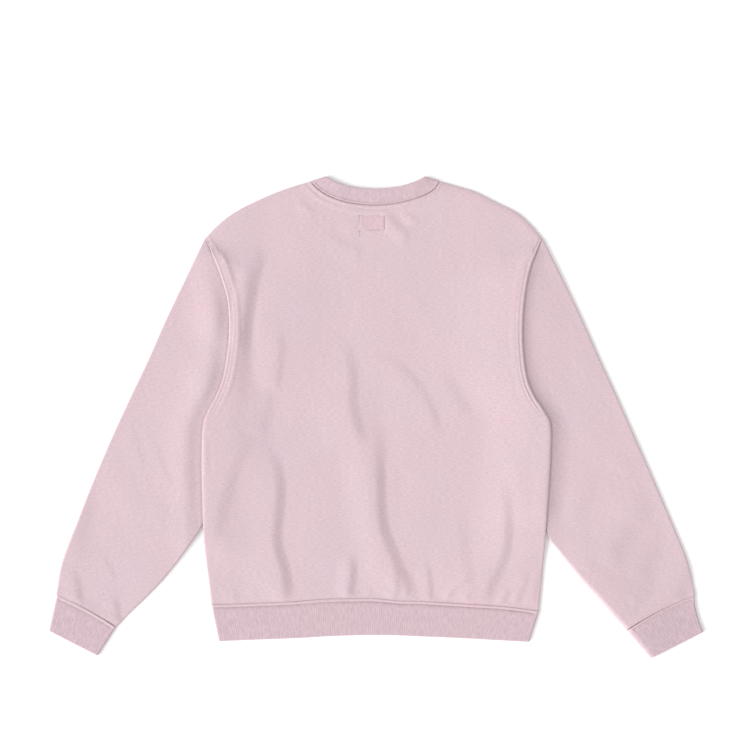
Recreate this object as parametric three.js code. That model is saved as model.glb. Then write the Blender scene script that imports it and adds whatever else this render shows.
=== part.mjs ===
import * as THREE from "three";

// A crewneck sweatshirt laid flat on its front panel, back side up.
// Millimetres. +X is to the right as seen from above, +Y towards the collar, +Z up.

// Cloth
const fleece = 2.0; // wall of the body and the sleeves
const rib = 2.6; // wall of the collar, cuffs and hem band, which are folded double
const gap = 0.3; // between pieces at a seam
const layerGap = 0.5; // between a sleeve and the panels above and below it
const sleeveHollow = 0.6; // between the two walls of a flattened sleeve
const edgeDrop = 0.65; // share of the wall rounded away at a panel's edge
const edgeInset = 2.5; // width of that rounding
const turnSteps = 3; // facets in each quarter of a folded edge

// Ribs, raised on the upper walls only, because the underside rests flat
const ribPitch = 3.2;
const ribRelief = 0.5;
const weltWidth = 4.5; // seam ridge between the fleece and the rib
const weltRelief = 0.7;

// Layers, as heights above the surface that the garment lies on
const sleeveStack = 2 * fleece + sleeveHollow;
const ribStack = 2 * rib + gap;
const backRest = rib + gap; // underside of the back where no sleeve lies below it
const sleeveLift = fleece + layerGap; // underside of a sleeve where it lies on the front
const backRaised = sleeveLift + sleeveStack + layerGap; // underside of the back over a sleeve
const sleeveClear = 14; // a sleeve is still lifted this far outside the front's edge
const sleeveRamp = 28; // over which it then comes down to the floor
const backSlope = 45; // over which the back comes down from the sleeve
const shoulderRamp = 12; // over which the layers part below the shoulder point
const hemRamp = 30; // over which they close below the sleeve
const neckSag = 2.2; // the back sinks into the open neck of the front
const neckHollow = { x: -2, y: 352, halfWidth: 72, depth: 60 };
const underarmRoll = 1.6; // cloth turned under along the crease below each armhole

// Body outline: side edges and armhole seams from the hem seam up to the shoulder points
const bodyRows = [
  { y: -292, left: -251, right: 248 },
  { y: -264, left: -254, right: 251 },
  { y: -195, left: -262, right: 257 },
  { y: -120, left: -265, right: 262 },
  { y: -60, left: -266, right: 265.5 },
  { y: -10, left: -263.5, right: 265 },
  { y: 12, left: -255, right: 254 },
  { y: 30, left: -245, right: 242 },
  { y: 55, left: -235, right: 231 },
  { y: 90, left: -228, right: 225 },
  { y: 133, left: -224, right: 223 },
  { y: 180, left: -227, right: 226 },
  { y: 220, left: -239, right: 233 },
  { y: 250, left: -251, right: 243.5 },
  { y: 272, left: -261, right: 253 },
];

// Shoulder seams, from the shoulder points up to the neck points
const shoulderRows = [
  { y: 272, left: -261, right: 253 },
  { y: 291, left: -243, right: 237 },
  { y: 310, left: -219, right: 216 },
  { y: 328, left: -185, right: 181 },
  { y: 343, left: -150, right: 151 },
  { y: 352, left: -124, right: 122 },
  { y: 359, left: -100, right: 97 },
];

// Neck seams and the free edges of the collar, from the neck points down to the middle
const neckRows = {
  back: [
    { y: 359, left: -100, right: 97 },
    { y: 347, left: -88, right: 89 },
    { y: 336, left: -70, right: 69 },
    { y: 327, left: -42, right: 37 },
    { y: 323, left: -2, right: -2 },
  ],
  front: [
    { y: 359, left: -100, right: 97 },
    { y: 330, left: -92, right: 89 },
    { y: 300, left: -72, right: 69 },
    { y: 277, left: -40, right: 37 },
    { y: 268, left: -2, right: -2 },
  ],
  backEdge: [
    { y: 367, left: -77, right: 74 },
    { y: 361.5, left: -68, right: 65 },
    { y: 355.5, left: -54, right: 50 },
    { y: 350.5, left: -35, right: 31 },
    { y: 348, left: -2, right: -2 },
  ],
  frontEdge: [
    { y: 367, left: -77, right: 74 },
    { y: 342, left: -69, right: 66 },
    { y: 318, left: -54, right: 51 },
    { y: 299, left: -30, right: 27 },
    { y: 292, left: -2, right: -2 },
  ],
};

// Hem seam and free edge of the hem band, across the body from left to right
const hemRows = [
  { across: 0, seam: -286, edge: -342 },
  { across: 0.125, seam: -284, edge: -339.5 },
  { across: 0.26, seam: -281, edge: -337 },
  { across: 0.35, seam: -277.5, edge: -334.5 },
  { across: 0.44, seam: -276.5, edge: -333 },
  { across: 0.5, seam: -276.5, edge: -332.5 },
  { across: 0.57, seam: -280, edge: -333 },
  { across: 0.645, seam: -281, edge: -334.5 },
  { across: 0.79, seam: -285.5, edge: -337.5 },
  { across: 0.905, seam: -289.5, edge: -340.5 },
  { across: 1, seam: -296, edge: -343 },
];
const hemEdge = { left: -240, right: 233 };

// How far each sleeve reaches in under the body's edge
const lapRows = [
  { y: 272, lap: -0.6 },
  { y: 250, lap: -0.6 },
  { y: 228, lap: 8 },
  { y: 200, lap: 10 },
  { y: 60, lap: 10 },
  { y: 18, lap: 21 },
  { y: -30, lap: 31 },
  { y: -75, lap: 29 },
  { y: -120, lap: 19 },
  { y: -170, lap: -1 },
];
const sleeveLeavesBody = -170; // height at which the sleeve comes out from under the side edge

// Sleeve sections from the armhole to the cuff seam
const sleeveRows = {
  left: [
    { along: 0, outerX: -261.6, outerY: 272, innerX: -231, innerY: 18 },
    { along: 0.11, outerX: -292, outerY: 209, innerX: -234, innerY: -30 },
    { along: 0.22, outerX: -321, outerY: 148, innerX: -237, innerY: -75 },
    { along: 0.33, outerX: -348, outerY: 87, innerX: -246, innerY: -120 },
    { along: 0.44, outerX: -377, outerY: 26, innerX: -267, innerY: -168 },
    { along: 0.56, outerX: -405, outerY: -35, innerX: -290, innerY: -203 },
    { along: 0.67, outerX: -431, outerY: -96, innerX: -320, innerY: -242 },
    { along: 0.78, outerX: -455, outerY: -157, innerX: -350, innerY: -274 },
    { along: 0.9, outerX: -479, outerY: -221, innerX: -378, innerY: -301 },
    { along: 1, outerX: -488.5, outerY: -271, innerX: -396, innerY: -320 },
  ],
  right: [
    { along: 0, outerX: 253.6, outerY: 272, innerX: 231, innerY: 18 },
    { along: 0.11, outerX: 285, outerY: 209, innerX: 234, innerY: -30 },
    { along: 0.22, outerX: 314, outerY: 148, innerX: 237, innerY: -75 },
    { along: 0.33, outerX: 341, outerY: 87, innerX: 245, innerY: -122 },
    { along: 0.44, outerX: 369, outerY: 26, innerX: 260, innerY: -177 },
    { along: 0.56, outerX: 396, outerY: -35, innerX: 281, innerY: -208 },
    { along: 0.67, outerX: 423, outerY: -96, innerX: 312, innerY: -247 },
    { along: 0.78, outerX: 449, outerY: -157, innerX: 341, innerY: -279 },
    { along: 0.9, outerX: 475, outerY: -221, innerX: 365, innerY: -307 },
    { along: 1, outerX: 486.5, outerY: -272, innerX: 380, innerY: -324 },
  ],
};

// Cuffs: the seam end and the free end, each from the sleeve's outer edge to its inner one,
// how far the seam bows towards the shoulder and how far the outer edge is drawn in
const cuffs = {
  left: { seam: [-487, -271.5, -397, -320.5], end: [-499, -326, -425, -364], bow: 3, waist: 0 },
  right: { seam: [485, -272.5, 381, -324.5], end: [499, -327.5, 418, -367], bow: 4, waist: 3 },
};

// Folds: a soft ridge along a path, steeper on its right side than on its left
const bodyFolds = [
  { path: [-205, 247, -219, 66], leftWidth: 26, rightWidth: 18, height: 1.6 },
  { path: [-152, 131, -181, -8, -161, -75, -167, -162, -168, -272], leftWidth: 36, rightWidth: 20, height: 3.0 },
  { path: [-66, 124, -47, -15, -12, -162, 24, -266], leftWidth: 34, rightWidth: 20, height: 2.6 },
  { path: [-12, 90, -6, -90], leftWidth: 24, rightWidth: 26, height: 1.4 },
  { path: [2, 106, 64, 62, 96, 6], leftWidth: 26, rightWidth: 22, height: 1.8 },
  { path: [187, -60, 184, -204, 158, -274], leftWidth: 34, rightWidth: 20, height: 2.2 },
  { path: [110, -190, 104, -276], leftWidth: 22, rightWidth: 18, height: 1.6 },
  { path: [70, -205, 66, -276], leftWidth: 16, rightWidth: 14, height: 1.4 },
  { path: [-42, -215, -46, -272], leftWidth: 14, rightWidth: 12, height: 1.6 },
  { path: [-226, -150, -222, -276], leftWidth: 20, rightWidth: 24, height: 1.4 },
  { path: [225, 40, 214, -90], leftWidth: 30, rightWidth: 24, height: 1.6 },
];
const sleeveFolds = {
  left: [
    { path: [-372, -30, -340, -62], leftWidth: 22, rightWidth: 18, height: 1.6 },
    { path: [-322, -40, -300, -100], leftWidth: 24, rightWidth: 18, height: 1.6 },
    { path: [-470, -205, -466, -262], leftWidth: 16, rightWidth: 16, height: 1.8 },
    { path: [-412, -250, -404, -296], leftWidth: 22, rightWidth: 18, height: 1.8 },
    { path: [-430, -150, -360, -215], leftWidth: 30, rightWidth: 24, height: 1.2 },
  ],
  right: [
    { path: [356, -76, 290, -146], leftWidth: 24, rightWidth: 20, height: 1.8 },
    { path: [416, -148, 370, -172], leftWidth: 24, rightWidth: 18, height: 1.6 },
    { path: [410, -206, 366, -236], leftWidth: 22, rightWidth: 18, height: 1.6 },
    { path: [455, -245, 436, -282], leftWidth: 18, rightWidth: 16, height: 1.8 },
    { path: [318, 40, 280, -30], leftWidth: 26, rightWidth: 22, height: 1.2 },
  ],
};

// Numbers of cells in each grid
const backCells = { shoulder: 10, neck: 12, along: 30 };
const frontCells = { shoulder: 4, neck: 12, along: 15 };
const sleeveCells = { across: 9, along: 16 };
const neckSamples = 80; // points that measure a neck line's length

// Colours
const fleeceColour = "#e1c9cf";
const ribColour = "#dbc1ca";

// Small mathematics

const lerp = (a, b, t) => a + (b - a) * t;
const smoothstep = (from, to, value) => {
  const t = Math.min(1, Math.max(0, (value - from) / (to - from)));
  return t * t * (3 - 2 * t);
};

// 0 at both ends and 1 in the middle
const hump = (t) => 4 * t * (1 - t);

// Reads one column of a table at a value of another, on a smooth curve through the rows
function readRows(rows, key, column, at) {
  const sorted = [...rows].sort((a, b) => a[key] - b[key]);
  const last = sorted.length - 1;
  const x = sorted.map((row) => row[key]);
  const y = sorted.map((row) => row[column]);
  let i = 0;
  while (i < last - 1 && at > x[i + 1]) i += 1;
  const span = x[i + 1] - x[i];
  const t = Math.min(1, Math.max(0, (at - x[i]) / span));
  const slope = (k) => {
    const low = Math.max(0, k - 1);
    const high = Math.min(last, k + 1);
    return (y[high] - y[low]) / (x[high] - x[low]);
  };
  const t2 = t * t;
  const t3 = t2 * t;
  return (
    (2 * t3 - 3 * t2 + 1) * y[i] +
    (t3 - 2 * t2 + t) * span * slope(i) +
    (3 * t2 - 2 * t3) * y[i + 1] +
    (t3 - t2) * span * slope(i + 1)
  );
}

// A patch between four edges that meet at its corners
function patch({ bottom, top, left, right }) {
  return (u, v) => {
    const [b, t, l, r] = [bottom(u), top(u), left(v), right(v)];
    const [b0, b1, t0, t1] = [bottom(0), bottom(1), top(0), top(1)];
    return [0, 1].map(
      (k) =>
        lerp(b[k], t[k], v) +
        lerp(l[k], r[k], u) -
        lerp(lerp(b0[k], b1[k], u), lerp(t0[k], t1[k], u), v),
    );
  };
}

// Even stations from 0 to 1 with one more just inside each end
function stations(cells, inset) {
  const even = Array.from({ length: cells - 1 }, (_, i) => (i + 1) / cells);
  return [0, inset, ...even.filter((s) => s > 1.5 * inset && s < 1 - 1.5 * inset), 1 - inset, 1];
}

// Outlines

const sign = { left: -1, right: 1 };
const sideX = (side, y) => readRows(bodyRows, "y", side, y);
const insideSide = (side, x, y) => sign[side] * (sideX(side, y) - x);
const shoulderPoint = (side) => shoulderRows[0][side];
const neckPoint = (side) => shoulderRows.at(-1)[side];
const shoulderY = shoulderRows[0].y;
const hemCorner = { left: hemRows[0].seam, right: hemRows.at(-1).seam };

const sideEdge = (side, lift) => (v) => {
  const y = lerp(hemCorner[side] + lift, shoulderY, v);
  return [sideX(side, y), y];
};
const hemSeam = (lift) => (u) => [
  lerp(sideX("left", hemCorner.left + lift), sideX("right", hemCorner.right + lift), u),
  readRows(hemRows, "across", "seam", u) + lift,
];
const hemFreeEdge = (u) => [
  lerp(hemEdge.left, hemEdge.right, u),
  readRows(hemRows, "across", "edge", u),
];

// A neck line, even along its length. Half of it belongs to each side of the middle row.
function neckLine(rows, lift = 0) {
  const middle = rows.at(-1).left;
  const halves = { left: mirroredRows(rows, "left"), right: mirroredRows(rows, "right") };
  const onLine = (x) => {
    const side = x < middle ? "left" : "right";
    return [x, readRows(halves[side], side, "y", x) + lift];
  };
  const samples = Array.from({ length: neckSamples + 1 }, (_, i) =>
    onLine(lerp(rows[0].left, rows[0].right, (1 - Math.cos((Math.PI * i) / neckSamples)) / 2)),
  );
  const run = [0];
  for (let i = 1; i < samples.length; i += 1) {
    const [dx, dy] = [0, 1].map((k) => samples[i][k] - samples[i - 1][k]);
    run.push(run[i - 1] + Math.hypot(dx, dy));
  }
  return (u) => {
    const target = u * run.at(-1);
    let i = 1;
    while (i < samples.length - 1 && run[i] < target) i += 1;
    const t = (target - run[i - 1]) / (run[i] - run[i - 1]);
    return onLine(lerp(samples[i - 1][0], samples[i][0], t));
  };
}

// The rows of one half, with one row past the middle so that the curve is level there
function mirroredRows(rows, side) {
  const middle = rows.at(-1);
  const before = rows.at(-2);
  return [...rows, { y: before.y, [side]: 2 * middle[side] - before[side] }];
}

const neckShare = [0.31, 0.69]; // where the neck starts and ends along the top edge
function topEdge(neck) {
  return (u) => {
    if (u < neckShare[0]) {
      const x = lerp(shoulderPoint("left"), neckPoint("left"), u / neckShare[0]);
      return [x, readRows(shoulderRows, "left", "y", x)];
    }
    if (u > neckShare[1]) {
      const x = lerp(neckPoint("right"), shoulderPoint("right"), (u - neckShare[1]) / (1 - neckShare[1]));
      return [x, readRows(shoulderRows, "right", "y", x)];
    }
    return neck((u - neckShare[0]) / (neckShare[1] - neckShare[0]));
  };
}

// Heights

const lapAt = (y) => readRows(lapRows, "y", "lap", y);

// 1 where a sleeve lies under the body's edge, falling to 0 where the layers are closed
function parted(side, x, y) {
  const reach = lapAt(y) + edgeInset;
  const across = 1 - smoothstep(reach, reach + backSlope, insideSide(side, x, y));
  const belowShoulder = smoothstep(shoulderY, shoulderY - shoulderRamp, y);
  const exit = sleeveLeavesBody - 3 * edgeInset;
  const aboveExit = smoothstep(exit - hemRamp, exit, y);
  return across * belowShoulder * aboveExit;
}

function foldHeight(folds, x, y) {
  let height = 0;
  for (const fold of folds) height += fold.height * foldShape(fold, x, y);
  return height;
}

// A fold's share of its height at a point: the nearest place on its path sets it
function foldShape({ path, leftWidth, rightWidth }, x, y) {
  const legs = path.length / 2 - 1;
  let best = { distance: Infinity };
  for (let i = 0; i < legs; i += 1) {
    const [ax, ay, bx, by] = path.slice(2 * i, 2 * i + 4);
    const length2 = (bx - ax) ** 2 + (by - ay) ** 2;
    const t = Math.min(1, Math.max(0, ((x - ax) * (bx - ax) + (y - ay) * (by - ay)) / length2));
    const dx = x - lerp(ax, bx, t);
    const dy = y - lerp(ay, by, t);
    const distance = Math.hypot(dx, dy);
    if (distance < best.distance) best = { distance, dx, along: (i + t) / legs };
  }
  const width = best.dx < 0 ? leftWidth : rightWidth;
  const across = Math.max(0, 1 - best.distance / width);
  const taper = smoothstep(0, 0.25, best.along) * smoothstep(1.12, 0.8, best.along);
  return smoothstep(0, 1, across) * taper;
}

function sagIntoNeck(x, y) {
  const { halfWidth, depth } = neckHollow;
  const reach = Math.hypot((x - neckHollow.x) / halfWidth, (y - neckHollow.y) / depth);
  return neckSag * smoothstep(0.85, 0.45, reach);
}

function backUnderside(x, y) {
  const open = Math.max(parted("left", x, y), parted("right", x, y));
  const folds = foldHeight(bodyFolds, x, y) * (1 - open);
  return lerp(backRest, backRaised, open) + folds - sagIntoNeck(x, y);
}

// The back's wall is thicker where cloth is turned under at the crease below an armhole
function backWall(x, y) {
  const side = x < 0 ? "left" : "right";
  const along = smoothstep(20, -20, y) * smoothstep(sleeveLeavesBody - 10, sleeveLeavesBody + 30, y);
  const across = smoothstep(22, 6, insideSide(side, x, y));
  return fleece + underarmRoll * along * across;
}

function sleeveUnderside(side, x, y) {
  const onFront = smoothstep(-sleeveClear - sleeveRamp, -sleeveClear, insideSide(side, x, y));
  return sleeveLift * onFront * smoothstep(shoulderY, shoulderY - shoulderRamp, y);
}

function sleeveTop(side, x, y) {
  const outside = smoothstep(-sleeveClear, -sleeveClear - sleeveRamp, insideSide(side, x, y));
  const folds = foldHeight(sleeveFolds[side], x, y);
  return sleeveUnderside(side, x, y) + sleeveStack + folds * outside;
}

const closedStack = () => ribStack;
const onFloor = () => 0;

// Solids

function meshOf(name, points, faces, colour) {
  const geometry = new THREE.BufferGeometry();
  const flat = points.flat();
  let volume = 0;
  for (const [a, b, c] of faces) {
    const [p, q, r] = [points[a], points[b], points[c]].map((corner) => new THREE.Vector3(...corner));
    volume += p.dot(q.cross(r)) / 6;
  }
  const outward = volume < 0 ? faces.map(([a, b, c]) => [a, c, b]) : faces;
  geometry.setAttribute("position", new THREE.Float32BufferAttribute(flat, 3));
  geometry.setIndex(outward.flat());
  geometry.computeVertexNormals();
  const material = new THREE.MeshStandardMaterial({ color: colour, roughness: 0.95, metalness: 0 });
  const mesh = new THREE.Mesh(geometry, material);
  mesh.name = name;
  return mesh;
}

// A flat panel: the same grid twice, joined round its edge.
// Its upper corner is rounded, or for a panel on the floor its lower one.
function panel(name, { plan, us, vs, underside, wall, roundsUp, colour }) {
  const points = [];
  const faces = [];
  const columns = us.length;
  const rows = vs.length;
  const layer = columns * rows;
  for (const upper of [false, true]) {
    for (let j = 0; j < rows; j += 1) {
      for (let i = 0; i < columns; i += 1) {
        const [x, y] = plan(us[i], vs[j]);
        const thickness = wall(x, y);
        const onEdge = i === 0 || j === 0 || i === columns - 1 || j === rows - 1;
        const drop = onEdge && upper === roundsUp ? edgeDrop * fleece : 0;
        points.push([x, y, underside(x, y) + (upper ? thickness - drop : drop)]);
      }
    }
  }
  for (let j = 0; j < rows - 1; j += 1) {
    for (let i = 0; i < columns - 1; i += 1) {
      const p = j * columns + i;
      const [q, r, s] = [p + 1, p + columns + 1, p + columns];
      faces.push([p, r, q], [p, s, r]);
      faces.push([p + layer, q + layer, r + layer], [p + layer, r + layer, s + layer]);
    }
  }
  const loop = [];
  for (let i = 0; i < columns - 1; i += 1) loop.push(i);
  for (let j = 0; j < rows - 1; j += 1) loop.push(j * columns + columns - 1);
  for (let i = columns - 1; i > 0; i -= 1) loop.push((rows - 1) * columns + i);
  for (let j = rows - 1; j > 0; j -= 1) loop.push(j * columns);
  loop.forEach((a, k) => {
    const b = loop[(k + 1) % loop.length];
    faces.push([a, b, b + layer], [a, b + layer, a + layer]);
  });
  return meshOf(name, points, faces, colour);
}

// Width of a flattened tube at a station, from how fast its plan runs near one edge
function widthAt(plan, v) {
  const step = 0.02;
  const [[x0, y0], [x1, y1]] = [plan(0, v), plan(step, v)];
  return Math.hypot(x1 - x0, y1 - y0) / step;
}

// One closed loop round a flattened tube at a station v along it.
// depth is 1 on the outside of the wall, 0 on the inside and 0.5 on a rounded lip.
// key runs from 0 to 1 over the upper wall and from 1 to 2 back under the lower one.
function ringLoop(tube, { v, depth, upper, lower, relief = () => 0 }) {
  const width = widthAt(tube.upperPlan, v);
  const sunk = (1 - depth) * tube.wall;
  const loop = [];
  const wallPoint = (isUpper, u, key) => {
    const [x, y] = (isUpper ? tube.upperPlan : tube.lowerPlan)(u, v);
    const z = isUpper ? tube.top(x, y) - sunk + relief(u) : tube.bottom(x, y) + sunk;
    loop.push({ point: [x, y, z], key });
  };
  const turnPoint = (isUpper, isLeft, angle, key) => {
    const halfAt = (x, y) => (tube.top(x, y) - tube.bottom(x, y)) / 2 - sunk;
    const radius = halfAt(...tube.upperPlan(isLeft ? 0 : 1, v));
    const inset = (sunk + radius * (1 - Math.cos(angle))) / width;
    const [x, y] = (isUpper ? tube.upperPlan : tube.lowerPlan)(isLeft ? inset : 1 - inset, v);
    const middle = (tube.top(x, y) + tube.bottom(x, y)) / 2;
    const rise = halfAt(x, y) * Math.sin(angle);
    loop.push({ point: [x, y, isUpper ? middle + rise : middle - rise], key });
  };
  const quarter = Array.from({ length: turnSteps + 1 }, (_, k) => k / turnSteps);
  const clear = (tube.wall + ribStack / 2) / width;
  const within = (list) => list.filter((u) => u > clear && u < 1 - clear);
  const turnKey = 0.5 * clear;
  quarter.forEach((q) => turnPoint(true, true, (q * Math.PI) / 2, q * turnKey));
  within(upper).forEach((u) => wallPoint(true, u, u));
  quarter.forEach((q) => turnPoint(true, false, ((1 - q) * Math.PI) / 2, 1 - (1 - q) * turnKey));
  quarter.slice(1).forEach((q) => turnPoint(false, false, (q * Math.PI) / 2, 1 + q * turnKey));
  within(lower).reverse().forEach((u) => wallPoint(false, u, 2 - u));
  const last = quarter.slice(1).reverse();
  last.forEach((q) => turnPoint(false, true, (q * Math.PI) / 2, 2 - q * turnKey));
  return loop;
}

// Loops joined in a closed chain: up the outside of the wall, over one end, down the inside
function tubeSolid(name, tube, loopSpecs, colour) {
  const points = [];
  const loops = loopSpecs.map((spec) => {
    const start = points.length;
    const loop = ringLoop(tube, spec);
    loop.forEach(({ point }) => points.push(point));
    return loop.map(({ key }, k) => ({ index: start + k, key }));
  });
  const faces = [];
  loops.forEach((loop, k) => faces.push(...zip(loop, loops[(k + 1) % loops.length])));
  return meshOf(name, points, faces, colour);
}

// Triangles between two closed loops that may have different numbers of points
function zip(a, b) {
  const faces = [];
  let [i, j] = [0, 0];
  const keyAfter = (loop, k) => (k + 1 < loop.length ? loop[k + 1].key : 2);
  const at = (loop, k) => loop[k % loop.length].index;
  while (i < a.length || j < b.length) {
    const advanceA = j >= b.length || (i < a.length && keyAfter(a, i) <= keyAfter(b, j));
    if (advanceA) {
      faces.push([at(a, i), at(a, i + 1), at(b, j)]);
      i += 1;
    } else {
      faces.push([at(a, i), at(b, j + 1), at(b, j)]);
      j += 1;
    }
  }
  return faces;
}

// Ribbed stations across an upper wall: a ridge and a groove for each rib
function ribStations(width) {
  const count = 2 * Math.round(width / ribPitch);
  return Array.from({ length: count - 1 }, (_, i) => (i + 1) / count);
}
const ribRidge = (width) => (u) =>
  Math.round(u * 2 * Math.round(width / ribPitch)) % 2 === 0 ? ribRelief : 0;

// A rib band: a plain welt at its seam, ribs below it and a rounded free edge
function ribBand(name, { upperPlan, lowerPlan, top, bottom, upper, lower, width, depth }) {
  const tube = { upperPlan, lowerPlan, top, bottom, wall: rib };
  const ribs = ribStations(width);
  const ridge = ribRidge(width);
  const welt = weltWidth / depth;
  const lip = rib / 2 / depth;
  const loops = [
    { v: 0, depth: 1, upper, lower },
    { v: welt / 2, depth: 1, upper, lower, relief: () => weltRelief },
    { v: welt, depth: 1, upper: ribs, lower, relief: ridge },
    { v: 1 - lip, depth: 1, upper: ribs, lower, relief: ridge },
    { v: 1, depth: 0.5, upper, lower },
    { v: 1 - lip, depth: 0, upper, lower },
    { v: 0, depth: 0, upper, lower },
  ];
  return tubeSolid(name, tube, loops, ribColour);
}

// The garment's pieces

// Columns across a panel: over one shoulder, round the neck and over the other shoulder
const bodyInset = edgeInset / 500; // of the body's width
const neckInset = 0.025; // of the neck's length
function columnsOf({ shoulder, neck }) {
  const overShoulder = stations(shoulder, bodyInset / neckShare[0]).slice(0, -2);
  const left = overShoulder.map((s) => s * neckShare[0]);
  const middle = stations(neck, neckInset).map((s) => lerp(...neckShare, s));
  const right = left.map((s) => 1 - s).reverse();
  return [...left, ...middle, ...right];
}
const backColumns = columnsOf(backCells);
const frontColumns = columnsOf(frontCells);

function backPanel() {
  const plan = patch({
    bottom: hemSeam(gap),
    top: topEdge(neckLine(neckRows.back)),
    left: sideEdge("left", gap),
    right: sideEdge("right", gap),
  });
  return panel("back", {
    plan,
    us: backColumns,
    vs: stations(backCells.along, bodyInset),
    underside: backUnderside,
    wall: backWall,
    roundsUp: true,
    colour: fleeceColour,
  });
}

function frontPanel() {
  const plan = patch({
    bottom: hemSeam(gap),
    top: topEdge(neckLine(neckRows.front)),
    left: sideEdge("left", gap),
    right: sideEdge("right", gap),
  });
  return panel("front", {
    plan,
    us: frontColumns,
    vs: stations(frontCells.along, bodyInset),
    underside: onFloor,
    wall: () => fleece,
    roundsUp: false,
    colour: fleeceColour,
  });
}

// A sleeve's head follows the armhole, inside the body's edge by the lap
function sleevePlan(side) {
  const rows = sleeveRows[side];
  const edge = (which) => (v) => [
    readRows(rows, "along", `${which}X`, v),
    readRows(rows, "along", `${which}Y`, v),
  ];
  const headEnd = rows[0].innerY;
  const head = (u) => {
    const y = lerp(shoulderY, headEnd, u);
    return [sideX(side, y) - sign[side] * lapAt(y), y];
  };
  const cuffSeam = (u) => {
    const [from, to] = [edge("outer")(1), edge("inner")(1)];
    return [lerp(from[0], to[0], u), lerp(from[1], to[1], u) + cuffs[side].bow * hump(u)];
  };
  return patch({ bottom: head, top: cuffSeam, left: edge("outer"), right: edge("inner") });
}

function sleeve(side) {
  const plan = sleevePlan(side);
  const tube = {
    upperPlan: plan,
    lowerPlan: plan,
    top: (x, y) => sleeveTop(side, x, y),
    bottom: (x, y) => sleeveUnderside(side, x, y),
    wall: fleece,
  };
  const upper = stations(sleeveCells.across, 0.04);
  const lower = stations(Math.ceil(sleeveCells.across / 2), 0.04);
  const along = stations(sleeveCells.along, 0.03);
  const outside = along.map((v) => ({ v, depth: 1, upper, lower }));
  const inside = along.map((v) => ({ v, depth: 0, upper, lower })).reverse();
  return tubeSolid(`sleeve_${side}`, tube, [...outside, ...inside], fleeceColour);
}

function cuff(side) {
  const { seam, end, bow, waist } = cuffs[side];
  const line = ([x0, y0, x1, y1], rise) => (u) => [lerp(x0, x1, u), lerp(y0, y1, u) + rise * hump(u) - gap];
  const between = (k, drawnIn) => (v) => [
    lerp(seam[k], end[k], v) - sign[side] * drawnIn * hump(v),
    lerp(seam[k + 1], end[k + 1], v) - gap,
  ];
  const plan = patch({
    bottom: line(seam, bow),
    top: line(end, 0),
    left: between(0, waist),
    right: between(2, 0),
  });
  const plain = stations(8, 0.06);
  return ribBand(`cuff_${side}`, {
    upperPlan: plan,
    lowerPlan: plan,
    top: closedStack,
    bottom: onFloor,
    upper: plain,
    lower: plain,
    width: Math.hypot(end[2] - end[0], end[3] - end[1]),
    depth: Math.hypot(end[0] - seam[0], end[1] - seam[1]),
  });
}

function hemBand() {
  const seam = hemSeam(0);
  const side = (u) => (v) => [lerp(seam(u)[0], hemFreeEdge(u)[0], v), lerp(seam(u)[1], hemFreeEdge(u)[1], v)];
  const plan = patch({ bottom: seam, top: hemFreeEdge, left: side(0), right: side(1) });
  return ribBand("hem_band", {
    upperPlan: plan,
    lowerPlan: plan,
    top: closedStack,
    bottom: onFloor,
    upper: backColumns,
    lower: frontColumns,
    width: hemEdge.right - hemEdge.left,
    depth: seam(0.5)[1] - hemFreeEdge(0.5)[1],
  });
}

function collar() {
  const lift = 1.5 * gap;
  const arc = (seamRows, edgeRows) => {
    const [seam, edge] = [neckLine(seamRows, lift), neckLine(edgeRows)];
    const side = (u) => (v) => [lerp(seam(u)[0], edge(u)[0], v), lerp(seam(u)[1], edge(u)[1], v)];
    return patch({ bottom: seam, top: edge, left: side(0), right: side(1) });
  };
  const onNeck = (columns) =>
    columns
      .filter((u) => u > neckShare[0] && u < neckShare[1])
      .map((u) => (u - neckShare[0]) / (neckShare[1] - neckShare[0]));
  return ribBand("collar", {
    upperPlan: arc(neckRows.back, neckRows.backEdge),
    lowerPlan: arc(neckRows.front, neckRows.frontEdge),
    top: (x, y) => ribStack - sagIntoNeck(x, y),
    bottom: onFloor,
    upper: onNeck(backColumns),
    lower: onNeck(frontColumns),
    width: neckPoint("right") - neckPoint("left"),
    depth: neckRows.backEdge.at(-1).y - neckRows.back.at(-1).y,
  });
}

const group = new THREE.Group();
group.add(frontPanel(), backPanel(), hemBand(), collar());
for (const side of ["left", "right"]) group.add(sleeve(side), cuff(side));

export default group;
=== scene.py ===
import math

import bpy
import numpy as np
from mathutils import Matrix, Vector


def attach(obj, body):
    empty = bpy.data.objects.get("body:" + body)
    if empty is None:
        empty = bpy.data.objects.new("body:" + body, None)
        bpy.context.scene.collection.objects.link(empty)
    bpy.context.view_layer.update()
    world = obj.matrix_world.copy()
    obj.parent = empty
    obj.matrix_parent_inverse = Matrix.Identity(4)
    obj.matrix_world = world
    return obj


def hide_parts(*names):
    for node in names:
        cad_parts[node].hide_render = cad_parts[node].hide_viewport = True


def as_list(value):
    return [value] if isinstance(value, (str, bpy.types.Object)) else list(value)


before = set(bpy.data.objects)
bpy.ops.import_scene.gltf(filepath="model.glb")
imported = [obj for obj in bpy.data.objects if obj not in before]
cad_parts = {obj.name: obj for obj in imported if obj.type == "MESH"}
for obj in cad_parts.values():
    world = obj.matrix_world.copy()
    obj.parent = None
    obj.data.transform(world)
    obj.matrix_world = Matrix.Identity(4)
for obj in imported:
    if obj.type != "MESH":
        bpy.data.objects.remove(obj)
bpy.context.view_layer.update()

# A crewneck sweatshirt laid flat on its front panel, back side up. Metres.


def table(columns, rows):
    """Rows of numbers under named columns."""
    return [dict(zip(columns.split(), row)) for row in rows]


# Cloth
FLEECE = 0.0020
RIB = 0.0026
GAP = 0.0003
LAYER_GAP = 0.0005
SLEEVE_HOLLOW = 0.0006
THIN = 0.0002  # what is left of a wall at a rounded edge

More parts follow.
